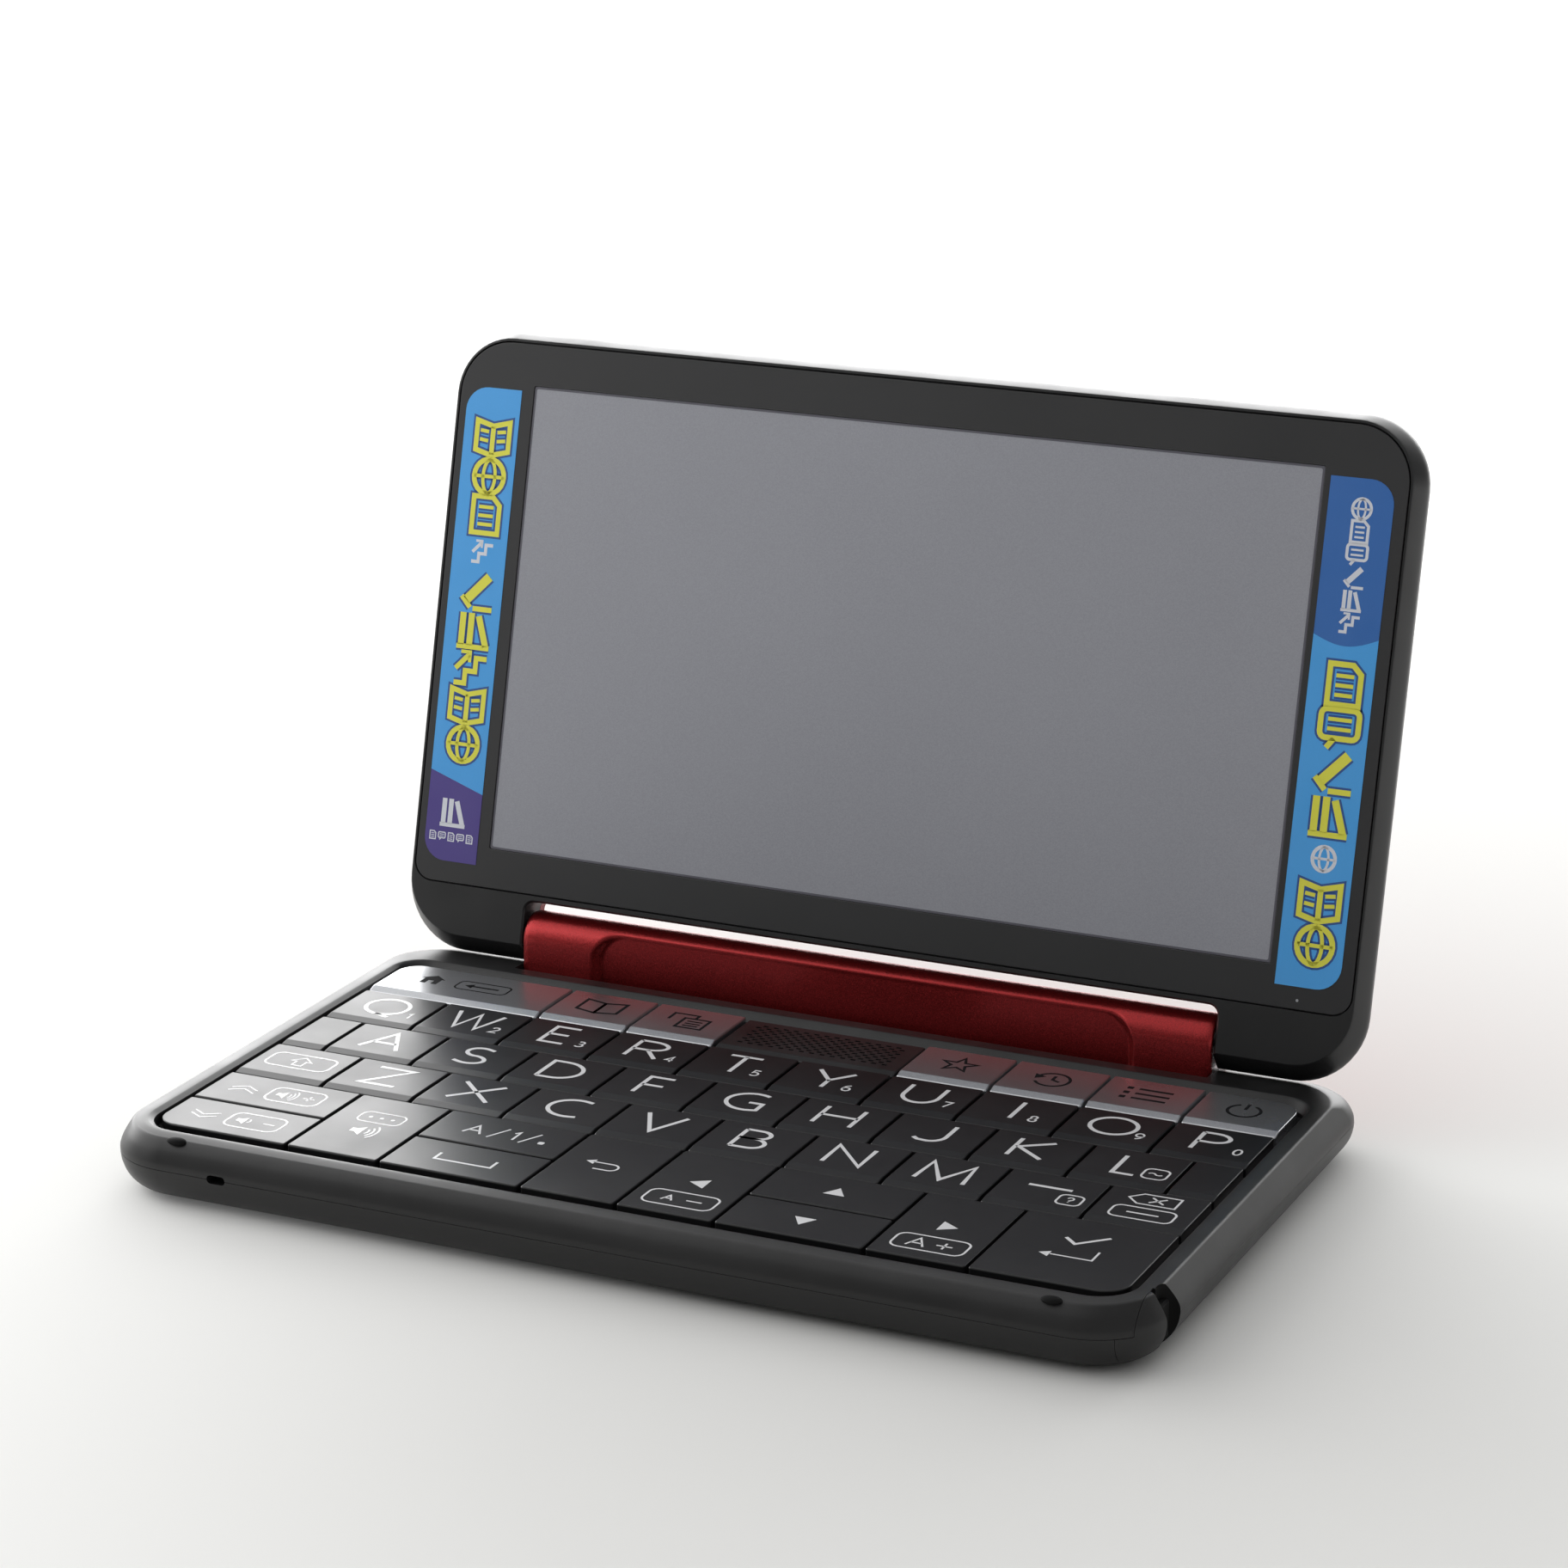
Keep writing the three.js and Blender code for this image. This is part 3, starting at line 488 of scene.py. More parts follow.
@dataclass(frozen=True)
class Effect:
    """A shared effect: a node group that is built once."""

    name: str
    inputs: tuple[tuple[str, float], ...]
    outputs: tuple[str, ...]
    wire: Callable[[Wiring, Sockets, Sockets], None]

    def group(self) -> bpy.types.NodeTree:
        """Gives the effect's node group, made on first use."""
        made = bpy.data.node_groups.get(self.name)
        if made is None:
            made = bpy.data.node_groups.new(self.name, "ShaderNodeTree")
            for name, value in self.inputs:
                socket = made.interface.new_socket(name, in_out="INPUT", socket_type="NodeSocketFloat")
                socket.default_value = value
            for name in self.outputs:
                kind = "NodeSocketVector" if name == "Normal" else "NodeSocketFloat"
                made.interface.new_socket(name, in_out="OUTPUT", socket_type=kind)
            wiring = Wiring(made)
            self.wire(wiring, wiring.node("NodeGroupInput").outputs, wiring.node("NodeGroupOutput").inputs)
        return made

    def place(self, wiring: Wiring, **values: float) -> Sockets:
        """Puts the effect in a material.

        Args:
            wiring: The material's wiring.
            values: The effect's inputs.

        Returns:
            The effect's outputs.
        """
        return wiring.node("Group", values, node_tree=self.group()).outputs


def wire_grain(wiring: Wiring, given: Sockets, result: Sockets) -> None:
    """Wires the fine texture that moulded plastic takes from its mould."""
    place = wiring.place()
    wiring.put(result["Height"], wiring.noise(place, given["Fineness"], 2.0))
    wiring.put(result["Patches"], wiring.noise(place, wiring.maths("MULTIPLY", given["Fineness"], 0.02), 3.0))


def wire_edges(wiring: Wiring, given: Sockets, result: Sockets) -> None:
    """Wires a mask of the outer edges, where handling polishes the surface."""
    rounded = wiring.node("Bevel", {"Radius": given["Reach"]}, samples=4)
    mask = wiring.span(wiring.vectors("DOT_PRODUCT", rounded.outputs[0], wiring.normal()), 0.995, 0.86)
    breaks = wiring.span(wiring.noise(wiring.place(), 900.0, 3.0), 0.35, 0.6, 0.35, 1.0)
    wiring.put(result["Mask"], wiring.maths("MULTIPLY", mask, breaks, clamp=True))


def wire_dust(wiring: Wiring, given: Sockets, result: Sockets) -> None:
    """Wires a mask of the light dust that settles on faces that look up."""
    up = wiring.span(wiring.node("SeparateXYZ", {0: wiring.normal()}).outputs["Z"], 0.2, 0.9)
    place = wiring.place()
    specks = wiring.node("TexVoronoi", {"Vector": place, "Scale": 700.0}, feature="F1")
    speck = wiring.span(specks.outputs["Distance"], 0.035, 0.02)
    film = wiring.span(wiring.noise(place, 60.0, 6.0, 0.65), 0.4, 0.75, 0.0, 0.35)
    lying = wiring.maths("MULTIPLY", wiring.maths("MAXIMUM", speck, film), up, clamp=True)
    wiring.put(result["Mask"], wiring.maths("MULTIPLY", lying, given["Amount"]))


def wire_flake(wiring: Wiring, given: Sockets, result: Sockets) -> None:
    """Wires the metal flake in a metallic coat: each flake has its own tone and tilt."""
    cells = wiring.node("TexVoronoi", {"Vector": wiring.place(), "Scale": given["Fineness"]}, feature="F1")
    wiring.put(result["Tone"], wiring.node("SeparateColor", {0: cells.outputs["Color"]}).outputs[0])
    centred = wiring.vectors("SUBTRACT", cells.outputs["Color"], (0.5, 0.5, 0.5))
    tilt = wiring.node("VectorMath", {0: centred, "Scale": given["Tilt"]}, operation="SCALE")
    turned = wiring.vectors("ADD", wiring.normal(), tilt.outputs[0])
    wiring.put(result["Normal"], wiring.node("VectorMath", {0: turned}, operation="NORMALIZE").outputs[0])


GRAIN = Effect("moulded_grain", (("Fineness", 5000.0),), ("Height", "Patches"), wire_grain)
EDGES = Effect("polished_edges", (("Reach", 0.0002),), ("Mask",), wire_edges)
DUST = Effect("settled_dust", (("Amount", 0.2),), ("Mask",), wire_dust)
FLAKE = Effect("metal_flake", (("Fineness", 9000.0), ("Tilt", 0.1)), ("Tone", "Normal"), wire_flake)


def tint(colour: Colour, gain: float = 1.0) -> tuple[float, float, float, float]:
    """Gives a colour with full alpha, made lighter or darker."""
    return (colour[0] * gain, colour[1] * gain, colour[2] * gain, 1.0)


def new_material(name: str) -> tuple[bpy.types.Material, Wiring]:
    """Makes an empty material with nodes."""
    made = bpy.data.materials.new(name)
    made.use_nodes = True
    return made, Wiring(made.node_tree)


@dataclass(frozen=True)
class Finish:
    """A finish of the dictionary: one material on a single shader."""

    name: str

    def wire(self, wiring: Wiring) -> dict:
        """Wires the finish and gives its shader's inputs."""
        raise NotImplementedError

    @cache
    def material(self) -> bpy.types.Material:
        """Gives the material, built on first use."""
        made, wiring = new_material(self.name)
        shader = wiring.node("BsdfPrincipled", self.wire(wiring))
        wiring.node("OutputMaterial", {"Surface": shader.outputs[0]})
        return made


@dataclass(frozen=True)
class Plastic(Finish):
    """Moulded plastic: a fine grain, faint patches, polished edges and a little dust."""

    colour: Colour
    roughness: float
    fineness: float = 5000.0
    grain: float = 0.1
    edge_gain: float = 1.8
    dust: float = 0.12
    specular: float = 0.5
    grain_depth: float = 0.00001
    patches: float = 0.12
    edge_reach: float = 0.0002
    dust_colour: Colour = (0.42, 0.42, 0.43)

    def wire(self, wiring: Wiring) -> dict:
        """Wires the finish and gives its shader's inputs."""
        grain = GRAIN.place(wiring, Fineness=self.fineness)
        edges = EDGES.place(wiring, Reach=self.edge_reach)["Mask"]
        dust = DUST.place(wiring, Amount=self.dust)["Mask"]
        patched = wiring.varied(grain["Patches"], self.colour, self.patches)
        worn = wiring.blend(edges, patched, tint(self.colour, self.edge_gain))
        rough = wiring.span(grain["Patches"], 0.25, 0.75, self.roughness - 0.05, self.roughness + 0.05)
        polished = wiring.maths("SUBTRACT", rough, wiring.maths("MULTIPLY", edges, 0.08))
        bump = wiring.node("Bump", {"Strength": self.grain, "Distance": self.grain_depth, "Height": grain["Height"]})
        return {
            "Base Color": wiring.blend(dust, worn, tint(self.dust_colour)),
            "Roughness": wiring.maths("ADD", polished, wiring.maths("MULTIPLY", dust, 0.3), clamp=True),
            "Normal": bump.outputs[0], "Specular IOR Level": self.specular,
        }


@dataclass(frozen=True)
class MetallicCoat(Finish):
    """A satin metallic coat: flakes of uneven tone and tilt under a thin clear layer."""

    colour: Colour
    roughness: float
    metallic: float = 0.8
    flake_fineness: float = 9000.0
    flake_tilt: float = 0.1
    tone_spread: float = 0.25
    coat: float = 0.2
    edge_gain: float = 1.25
    coat_roughness: float = 0.25
    edge_reach: float = 0.00018

    def wire(self, wiring: Wiring) -> dict:
        """Wires the finish and gives its shader's inputs."""
        flake = FLAKE.place(wiring, Fineness=self.flake_fineness, Tilt=self.flake_tilt)
        edges = EDGES.place(wiring, Reach=self.edge_reach)
        speckled = wiring.varied(flake["Tone"], self.colour, self.tone_spread)
        return {
            "Base Color": wiring.blend(edges["Mask"], speckled, tint(self.colour, self.edge_gain)),
            "Roughness": wiring.uneven(GRAIN.place(wiring, Fineness=3000.0), self.roughness, 0.04),
            "Metallic": self.metallic, "Normal": flake["Normal"],
            "Coat Weight": self.coat, "Coat Roughness": self.coat_roughness,
        }


@dataclass(frozen=True)
class Print(Finish):
    """Printed ink or a printed film: slightly uneven, with a soft gloss."""

    colour: Colour
    roughness: float
    specular: float = 0.5
    spread: float = 0.06

    def wire(self, wiring: Wiring) -> dict:
        """Wires the finish and gives its shader's inputs."""
        grain = GRAIN.place(wiring, Fineness=8000.0)
        return {
            "Base Color": wiring.varied(grain["Height"], self.colour, self.spread),
            "Roughness": wiring.uneven(grain, self.roughness, self.spread), "Specular IOR Level": self.specular,
        }


@dataclass(frozen=True)
class ScreenGlass(Finish):
    """The display switched off: an anti-glare film with a fine sparkle over a grey panel."""

    name: str = "anti_glare_screen"
    colour: Colour = (0.31, 0.315, 0.35)
    roughness: float = 0.42

    def wire(self, wiring: Wiring) -> dict:
        """Wires the finish and gives its shader's inputs."""
        flake = FLAKE.place(wiring, Fineness=7000.0, Tilt=0.05)
        grain = GRAIN.place(wiring, Fineness=1500.0)
        base = wiring.varied(grain["Patches"], self.colour, 0.03)
        sparkle = wiring.varied(flake["Tone"], (1.0, 1.0, 1.0), 0.06)
        return {
            "Base Color": wiring.blend(1.0, base, sparkle, "MULTIPLY"),
            "Roughness": wiring.uneven(grain, self.roughness, 0.03), "Normal": flake["Normal"],
        }


@dataclass(frozen=True)
class TurnedSteel(Finish):
    """Bare steel with fine turning marks."""

    name: str = "turned_steel"
    colour: Colour = (0.46, 0.46, 0.47)
    roughness: float = 0.35

    def wire(self, wiring: Wiring) -> dict:
        """Wires the finish and gives its shader's inputs."""
        marks = wiring.node("TexWave", {"Vector": wiring.place(), "Scale": 2600.0, "Distortion": 2.0}).outputs["Fac"]
        bump = wiring.node("Bump", {"Strength": 0.2, "Distance": 0.00001, "Height": marks})
        return {
            "Base Color": wiring.blend(marks, tint(self.colour, 0.85), tint(self.colour, 1.1)),
            "Roughness": wiring.uneven(GRAIN.place(wiring, Fineness=3000.0), self.roughness, 0.07),
            "Metallic": 1.0, "Normal": bump.outputs[0],
        }


@dataclass(frozen=True)
class SolderMask(Finish):
    """A circuit board: green mask with copper lines under it."""

    name: str = "solder_mask"
    roughness: float = 0.375

    def wire(self, wiring: Wiring) -> dict:
        """Wires the finish and gives its shader's inputs."""
        tracks = wiring.node("TexBrick", {
            "Vector": wiring.place(), "Scale": 260.0, "Color1": (0.01, 0.09, 0.03, 1), "Color2": (0.015, 0.12, 0.04, 1),
            "Mortar": (0.03, 0.2, 0.07, 1), "Mortar Size": 0.03,
        })
        rough = wiring.uneven(GRAIN.place(wiring, Fineness=2500.0), self.roughness, 0.075)
        return {"Base Color": tracks.outputs["Color"], "Roughness": rough}


CASE = Plastic("case_plastic", (0.0105, 0.0103, 0.0105), 0.4, grain=0.3, edge_gain=2.0, specular=0.44)
LID_CASE = Plastic("lid_case_plastic", (0.011, 0.011, 0.0115), 0.36, grain=0.25, edge_gain=2.0)
BEZEL = Plastic("bezel_plastic", (0.018, 0.018, 0.019), 0.5, 3600.0, 0.3)
KEY = Plastic("key_plastic", (0.0075, 0.0075, 0.0082), 0.36, 4200.0, 0.3, 2.2, 0.05, 0.38)
RUBBER = Plastic("black_rubber", (0.006, 0.006, 0.006), 0.8, grain=0.4, edge_gain=1.4, dust=0.02, specular=0.15)
SILVER = MetallicCoat("silver_key_coat", (0.52, 0.53, 0.55), 0.3, 0.9, 12000.0, 0.06, 0.08, 0.1, 1.1)
RED = MetallicCoat("red_metallic_paint", (0.35, 0.0205, 0.0225), 0.32, 0.8, 9000.0, 0.16, 0.3, 0.2, 1.2)
BACK_RED = MetallicCoat("back_cover_paint", (0.16, 0.011, 0.012), 0.34, 0.8, 9000.0, 0.14, 0.3, 0.2, 1.2)
BLACK_STEEL = MetallicCoat("black_screw", (0.05, 0.05, 0.052), 0.35, 0.9)
FOIL = MetallicCoat("battery_foil", (0.55, 0.56, 0.58), 0.35, 0.9, 2500.0, 0.2, 0.1)
STEEL = TurnedSteel()
BOARD = SolderMask()
SCREEN = ScreenGlass()
BORDER = Print("screen_border_grey", (0.1, 0.098, 0.12), 0.4)
LIGHT_INK = Print("light_key_ink", (0.78, 0.78, 0.79), 0.36)
DARK_INK = Print("dark_key_ink", (0.01, 0.01, 0.011), 0.8, 0.12)
SKY_BLUE = Print("strip_sky_blue", (0.08, 0.38, 0.82), 0.35)
DEEP_BLUE = Print("strip_deep_blue", (0.043, 0.155, 0.46), 0.35)
PURPLE = Print("strip_purple", (0.085, 0.06, 0.26), 0.35)
YELLOW = Print("strip_yellow", (0.78, 0.76, 0.08), 0.4)
OUTLINE_BLUE = Print("strip_outline_blue", (0.03, 0.09, 0.3), 0.4)
WHITE = Print("strip_white", (0.72, 0.74, 0.8), 0.4)
DOT = Print("indicator_dot", (0.35, 0.36, 0.38), 0.4)


def dress(
    piece: bpy.types.Object, body: str, finishes: Sequence[Finish], stands_for: str = "",
    smooth: bool = True,
) -> bpy.types.Object:
    """Gives a piece its finishes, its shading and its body.

    Args:
        piece: The piece.
        body: The body that it rides on.
        finishes: Its finishes, in the order of their numbers.
        stands_for: The CAD node that it replaces.
        smooth: Whether its round faces are shaded smoothly.

    Returns:
        The piece.
    """
    materials = piece.data.materials
    for number, finish in enumerate(finishes):
        if number < len(materials):
            materials[number] = finish.material()
        else:
            materials.append(finish.material())
    if smooth:
        piece.data.shade_smooth()
        piece.data.set_sharp_from_angle(angle=SMOOTH_ANGLE)
        even = piece.modifiers.new("even_shading", "WEIGHTED_NORMAL")
        even.keep_sharp = True
        even.weight = 80
    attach(piece, body)
    if stands_for:
        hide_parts(stands_for)
    LOG.info("made %s", piece.name)
    return piece


def coat_node(node: str, finish: Finish) -> None:
    """Gives a CAD node that is shown itself its finish."""
    materials = frame["nodes"][node].data.materials
    materials.clear()
    materials.append(finish.material())


class Assembly:
    """A sub-assembly, whose pieces ride on one body and are drawn in one place."""

    body = Body.BASE
    place = STANDING

    def piece(
        self, name: str, form: Form, finish: Finish | tuple[Finish, ...], slot: Slot = Slot.CASE,
        stands_for: str = "", cuts: Sequence[Form] = (), smooth: bool = True,
    ) -> bpy.types.Object:
        """Makes a form into a finished piece.

        Args:
            name: The piece's name.
            form: Its form.
            finish: Its finish, or all its finishes.
            slot: Not used.
            stands_for: The CAD node that it replaces.
            cuts: The solids that are cut from it.
            smooth: Whether its round faces are shaded smoothly.

        Returns:
            The piece.
        """
        made = form.item(name, self.place)
        if cuts:
            carve(made, cuts, self.place)
        finishes = finish if isinstance(finish, tuple) else (finish,)
        return dress(made, self.body.value, finishes, stands_for, smooth)


# ---- Legends ----

GLYPH_WIDTHS = {
    "q": 6.5, "w": 7.2, "e": 3.7, "r": 4.7, "t": 4.9, "y": 5.4, "u": 5.2, "i": 0.0, "o": 6.6, "p": 4.1,
    "a": 6.0, "s": 4.3, "d": 5.6, "f": 3.6, "g": 5.4, "h": 5.5, "j": 4.2, "k": 4.8, "l": 3.0,
    "z": 5.4, "x": 6.2, "c": 5.3, "v": 5.9, "b": 4.4, "n": 5.3, "m": 6.9,
}


def letter_strokes(name: str) -> list[tuple[Path, bool]]:
    """Gives the strokes of a letter or digit in a unit square.

    Args:
        name: The letter or digit.

    Returns:
        Pairs of a path and whether it closes.
    """
    stem = [(0, 0), (0, 1)]
    bowl = [(0, 1), (0.45, 1)] + arc(0.45, 0.735, 0.55, 0.265, 90, -90) + [(0, 0.47)]
    table = {
        "a": [[(0, 0), (0.5, 1), (1, 0)], [(0.19, 0.36), (0.81, 0.36)]],
        "b": [stem, [(0, 1), (0.5, 1)] + arc(0.5, 0.765, 0.4, 0.235, 90, -90) + [(0, 0.53)],
              [(0, 0.53), (0.55, 0.53)] + arc(0.55, 0.265, 0.45, 0.265, 90, -90) + [(0, 0)]],
        "c": [[(1, 0.95)] + arc(0.66, 0.5, 0.66, 0.5, 75, 285, 18) + [(1, 0.05)]],
        "d": [[(0, 0), (0, 1), (0.36, 1)] + arc(0.36, 0.5, 0.64, 0.5, 90, -90, 16) + [(0, 0)]],
        "e": [[(1, 1), (0, 1), (0, 0), (1, 0)], [(0, 0.52), (0.85, 0.52)]],
        "f": [[(1, 1), (0, 1), (0, 0)], [(0, 0.5), (0.88, 0.5)]],
        "g": [[(0.96, 0.93)] + arc(0.64, 0.5, 0.64, 0.5, 70, 278, 18) + [(1, 0.07), (1, 0.46), (0.62, 0.46)]],
        "h": [stem, [(1, 0), (1, 1)], [(0, 0.51), (1, 0.51)]],
        "i": [stem],
        "j": [[(1, 1), (1, 0.36)] + arc(0.5, 0.36, 0.5, 0.36, 0, -90, 8) + [(0.18, 0.02), (0, 0.12)]],
        "k": [stem, [(1, 1), (0.1, 0.53), (1, 0)]],
        "l": [[(0, 1), (0, 0), (1, 0)]],
        "m": [[(0, 0), (0.07, 1), (0.5, 0.06), (0.93, 1), (1, 0)]],
        "n": [[(0, 0), (0, 1), (1, 0), (1, 1)]],
        "p": [stem, bowl],
        "r": [stem, bowl, [(0.5, 0.47), (1, 0)]],
        "s": [[(0.93, 0.92)] + arc(0.52, 0.745, 0.45, 0.255, 62, 262, 12)
              + arc(0.48, 0.255, 0.52, 0.245, 78, -118, 12) + [(0, 0.1)]],
        "t": [[(0, 1), (1, 1)], [(0.5, 1), (0.5, 0)]],
        "u": [[(0, 1), (0, 0.42)] + arc(0.5, 0.42, 0.5, 0.42, 180, 360, 14) + [(1, 1)]],
        "v": [[(0, 1), (0.5, 0), (1, 1)]],
        "w": [[(0, 1), (0.27, 0), (0.5, 0.94), (0.73, 0), (1, 1)]],
        "x": [[(0, 1), (1, 0)], [(0, 0), (1, 1)]],
        "y": [[(0, 1), (0.5, 0.45), (1, 1)], [(0.5, 0.47), (0.5, 0)]],
        "z": [[(0, 1), (1, 1), (0, 0), (1, 0)]],
        "1": [[(0.2, 0.78), (0.6, 1), (0.6, 0)]],
        "2": [arc(0.5, 0.72, 0.45, 0.28, 165, -35) + [(0, 0), (1, 0)]],
        "3": [arc(0.45, 0.76, 0.42, 0.24, 140, -85, 8) + arc(0.45, 0.26, 0.52, 0.26, 85, -145, 8)],
        "4": [[(0.72, 0), (0.72, 1), (0, 0.3), (1, 0.3)]],
        "5": [[(0.92, 1), (0.2, 1), (0.13, 0.56)] + arc(0.45, 0.32, 0.52, 0.32, 115, -140)],
        "6": [arc(0.9, 0.35, 0.88, 0.68, 98, 176, 8) + arc(0.5, 0.31, 0.48, 0.31, 180, 520, 16)],
        "7": [[(0, 1), (1, 1), (0.35, 0)]],
        "9": [arc(0.1, 0.65, 0.88, 0.68, 278, 356, 8) + arc(0.5, 0.69, 0.48, 0.31, 0, 340, 16)],
        "?": [arc(0.5, 0.72, 0.42, 0.28, 170, -60, 9) + [(0.5, 0.36), (0.5, 0.24)], [(0.5, 0.08), (0.5, 0.0)]],
    }
    loops = {
        "o": [oval(0.5, 0.5, 0.5, 0.5, 36)],
        "q": [oval(0.5, 0.5, 0.5, 0.5, 36)],
        "0": [oval(0.5, 0.5, 0.46, 0.5)],
        "8": [oval(0.5, 0.76, 0.38, 0.24, 18), oval(0.5, 0.26, 0.48, 0.26, 18)],
    }
    tails = {"q": [[(0.44, 0.01), (0.8, -0.12)]]}
    strokes = [(path, False) for path in table.get(name, []) + tails.get(name, [])]
    return strokes + [(path, True) for path in loops.get(name, [])]


@dataclass
class Legend:
    """Printing on one cap: thin strokes that lie on the cap's top."""

    form: Form
    x: float
    y: float
    top: float
    finish: int = 1
    thickness: float = 0.015
    sunk: float = 0.02
    frame_corner: float = 0.28
    frame_stroke: float = 0.3

    def line(self, path: Path, width: float, closed: bool = False) -> None:
        """Prints a line along a path about the legend's middle."""
        low, high = self.top - self.sunk, self.top + self.thickness
        self.form.ribbon(moved(path, self.x, self.y), width, low, high, self.finish, closed)

    def patch(self, outline: Path) -> None:
        """Prints a filled shape."""
        self.form.slab(moved(outline, self.x, self.y), self.top - self.sunk, self.top + self.thickness, self.finish)

    def glyph(self, name: str, width: float, height: float, x: float, y: float, stroke: float) -> None:
        """Prints a letter or digit.

        Args:
            name: The letter or digit.
            width: Width between the middles of its outer strokes.
            height: Height between the middles of its outer strokes.
            x: Its middle.
            y: Its middle.
            stroke: Width of the strokes.
        """
        for path, closed in letter_strokes(name):
            self.line([(x + (px - 0.5) * width, y + (py - 0.5) * height) for px, py in path], stroke, closed)

    def frame(self, width: float, height: float, x: float = 0.0, y: float = 0.0) -> None:
        """Prints a rounded box outline."""
        self.line(boxed(width, height, min(width, height) * self.frame_corner, x, y), self.frame_stroke, True)

    def triangle(self, x: float, y: float, size: float, turn: float) -> None:
        """Prints a filled arrow head that points along a direction in degrees."""
        points = [(size, 0.0), (-size * 0.7, size * 1.05), (-size * 0.7, -size * 1.05)]
        cos, sin = math.cos(math.radians(turn)), math.sin(math.radians(turn))
        self.patch([(x + px * cos - py * sin, y + px * sin + py * cos) for px, py in points])

    def speaker(self, x: float, y: float, size: float, waves: int) -> None:
        """Prints a loudspeaker with a number of sound waves."""
        body = [(-1.0, -0.35), (-0.55, -0.35), (0.05, -0.9), (0.05, 0.9), (-0.55, 0.35), (-1.0, 0.35)]
        self.patch(moved(body, x, y, size))
        for reach in (0.45 + 0.38 * wave for wave in range(waves)):
            self.line(moved(arc(0.1, 0.0, reach, reach * 1.35, -48, 48, 8), x, y, size), 0.16 * size)

    def paging(self, sign: int) -> None:
        """Prints a double chevron and a boxed loudspeaker, up for 1 and down for -1."""
        for level in (-0.28, 0.28):
            path = [(-1.0, (level - 0.3) * sign), (0.0, (level + 0.3) * sign), (1.0, (level - 0.3) * sign)]
            self.line(moved(path, -5.2, 0.0, 2.0), 0.24)
        self.frame(8.2, 5.0, 2.8, 0.2)
        self.speaker(1.2, 0.2, 1.35, 2 + sign)
        self.line([(4.0, 0.2), (5.8, 0.2)], 0.28)
        if sign == 1:
            self.line([(4.9, 1.1), (4.9, -0.7)], 0.28)

    def sizing(self, turn: int, width: float, height: float) -> None:
        """Prints an arrow head with a boxed small or large letter."""
        self.triangle(0.0, 0.6, 1.45, turn)
        self.frame(10.0, 4.7, 0.2, -5.6)
        self.glyph("a", width, height, -1.6, -5.6, 0.3)
        self.line([(1.0, -5.6), (3.2, -5.6)], 0.3)


def star_points() -> Path:
    """Gives the outline of a five-pointed star."""
    turns = [(2.7 if i % 2 == 0 else 1.1, QUARTER + i * math.pi / 5) for i in range(10)]
    return [(radius * math.cos(turn), radius * math.sin(turn)) for radius, turn in turns]


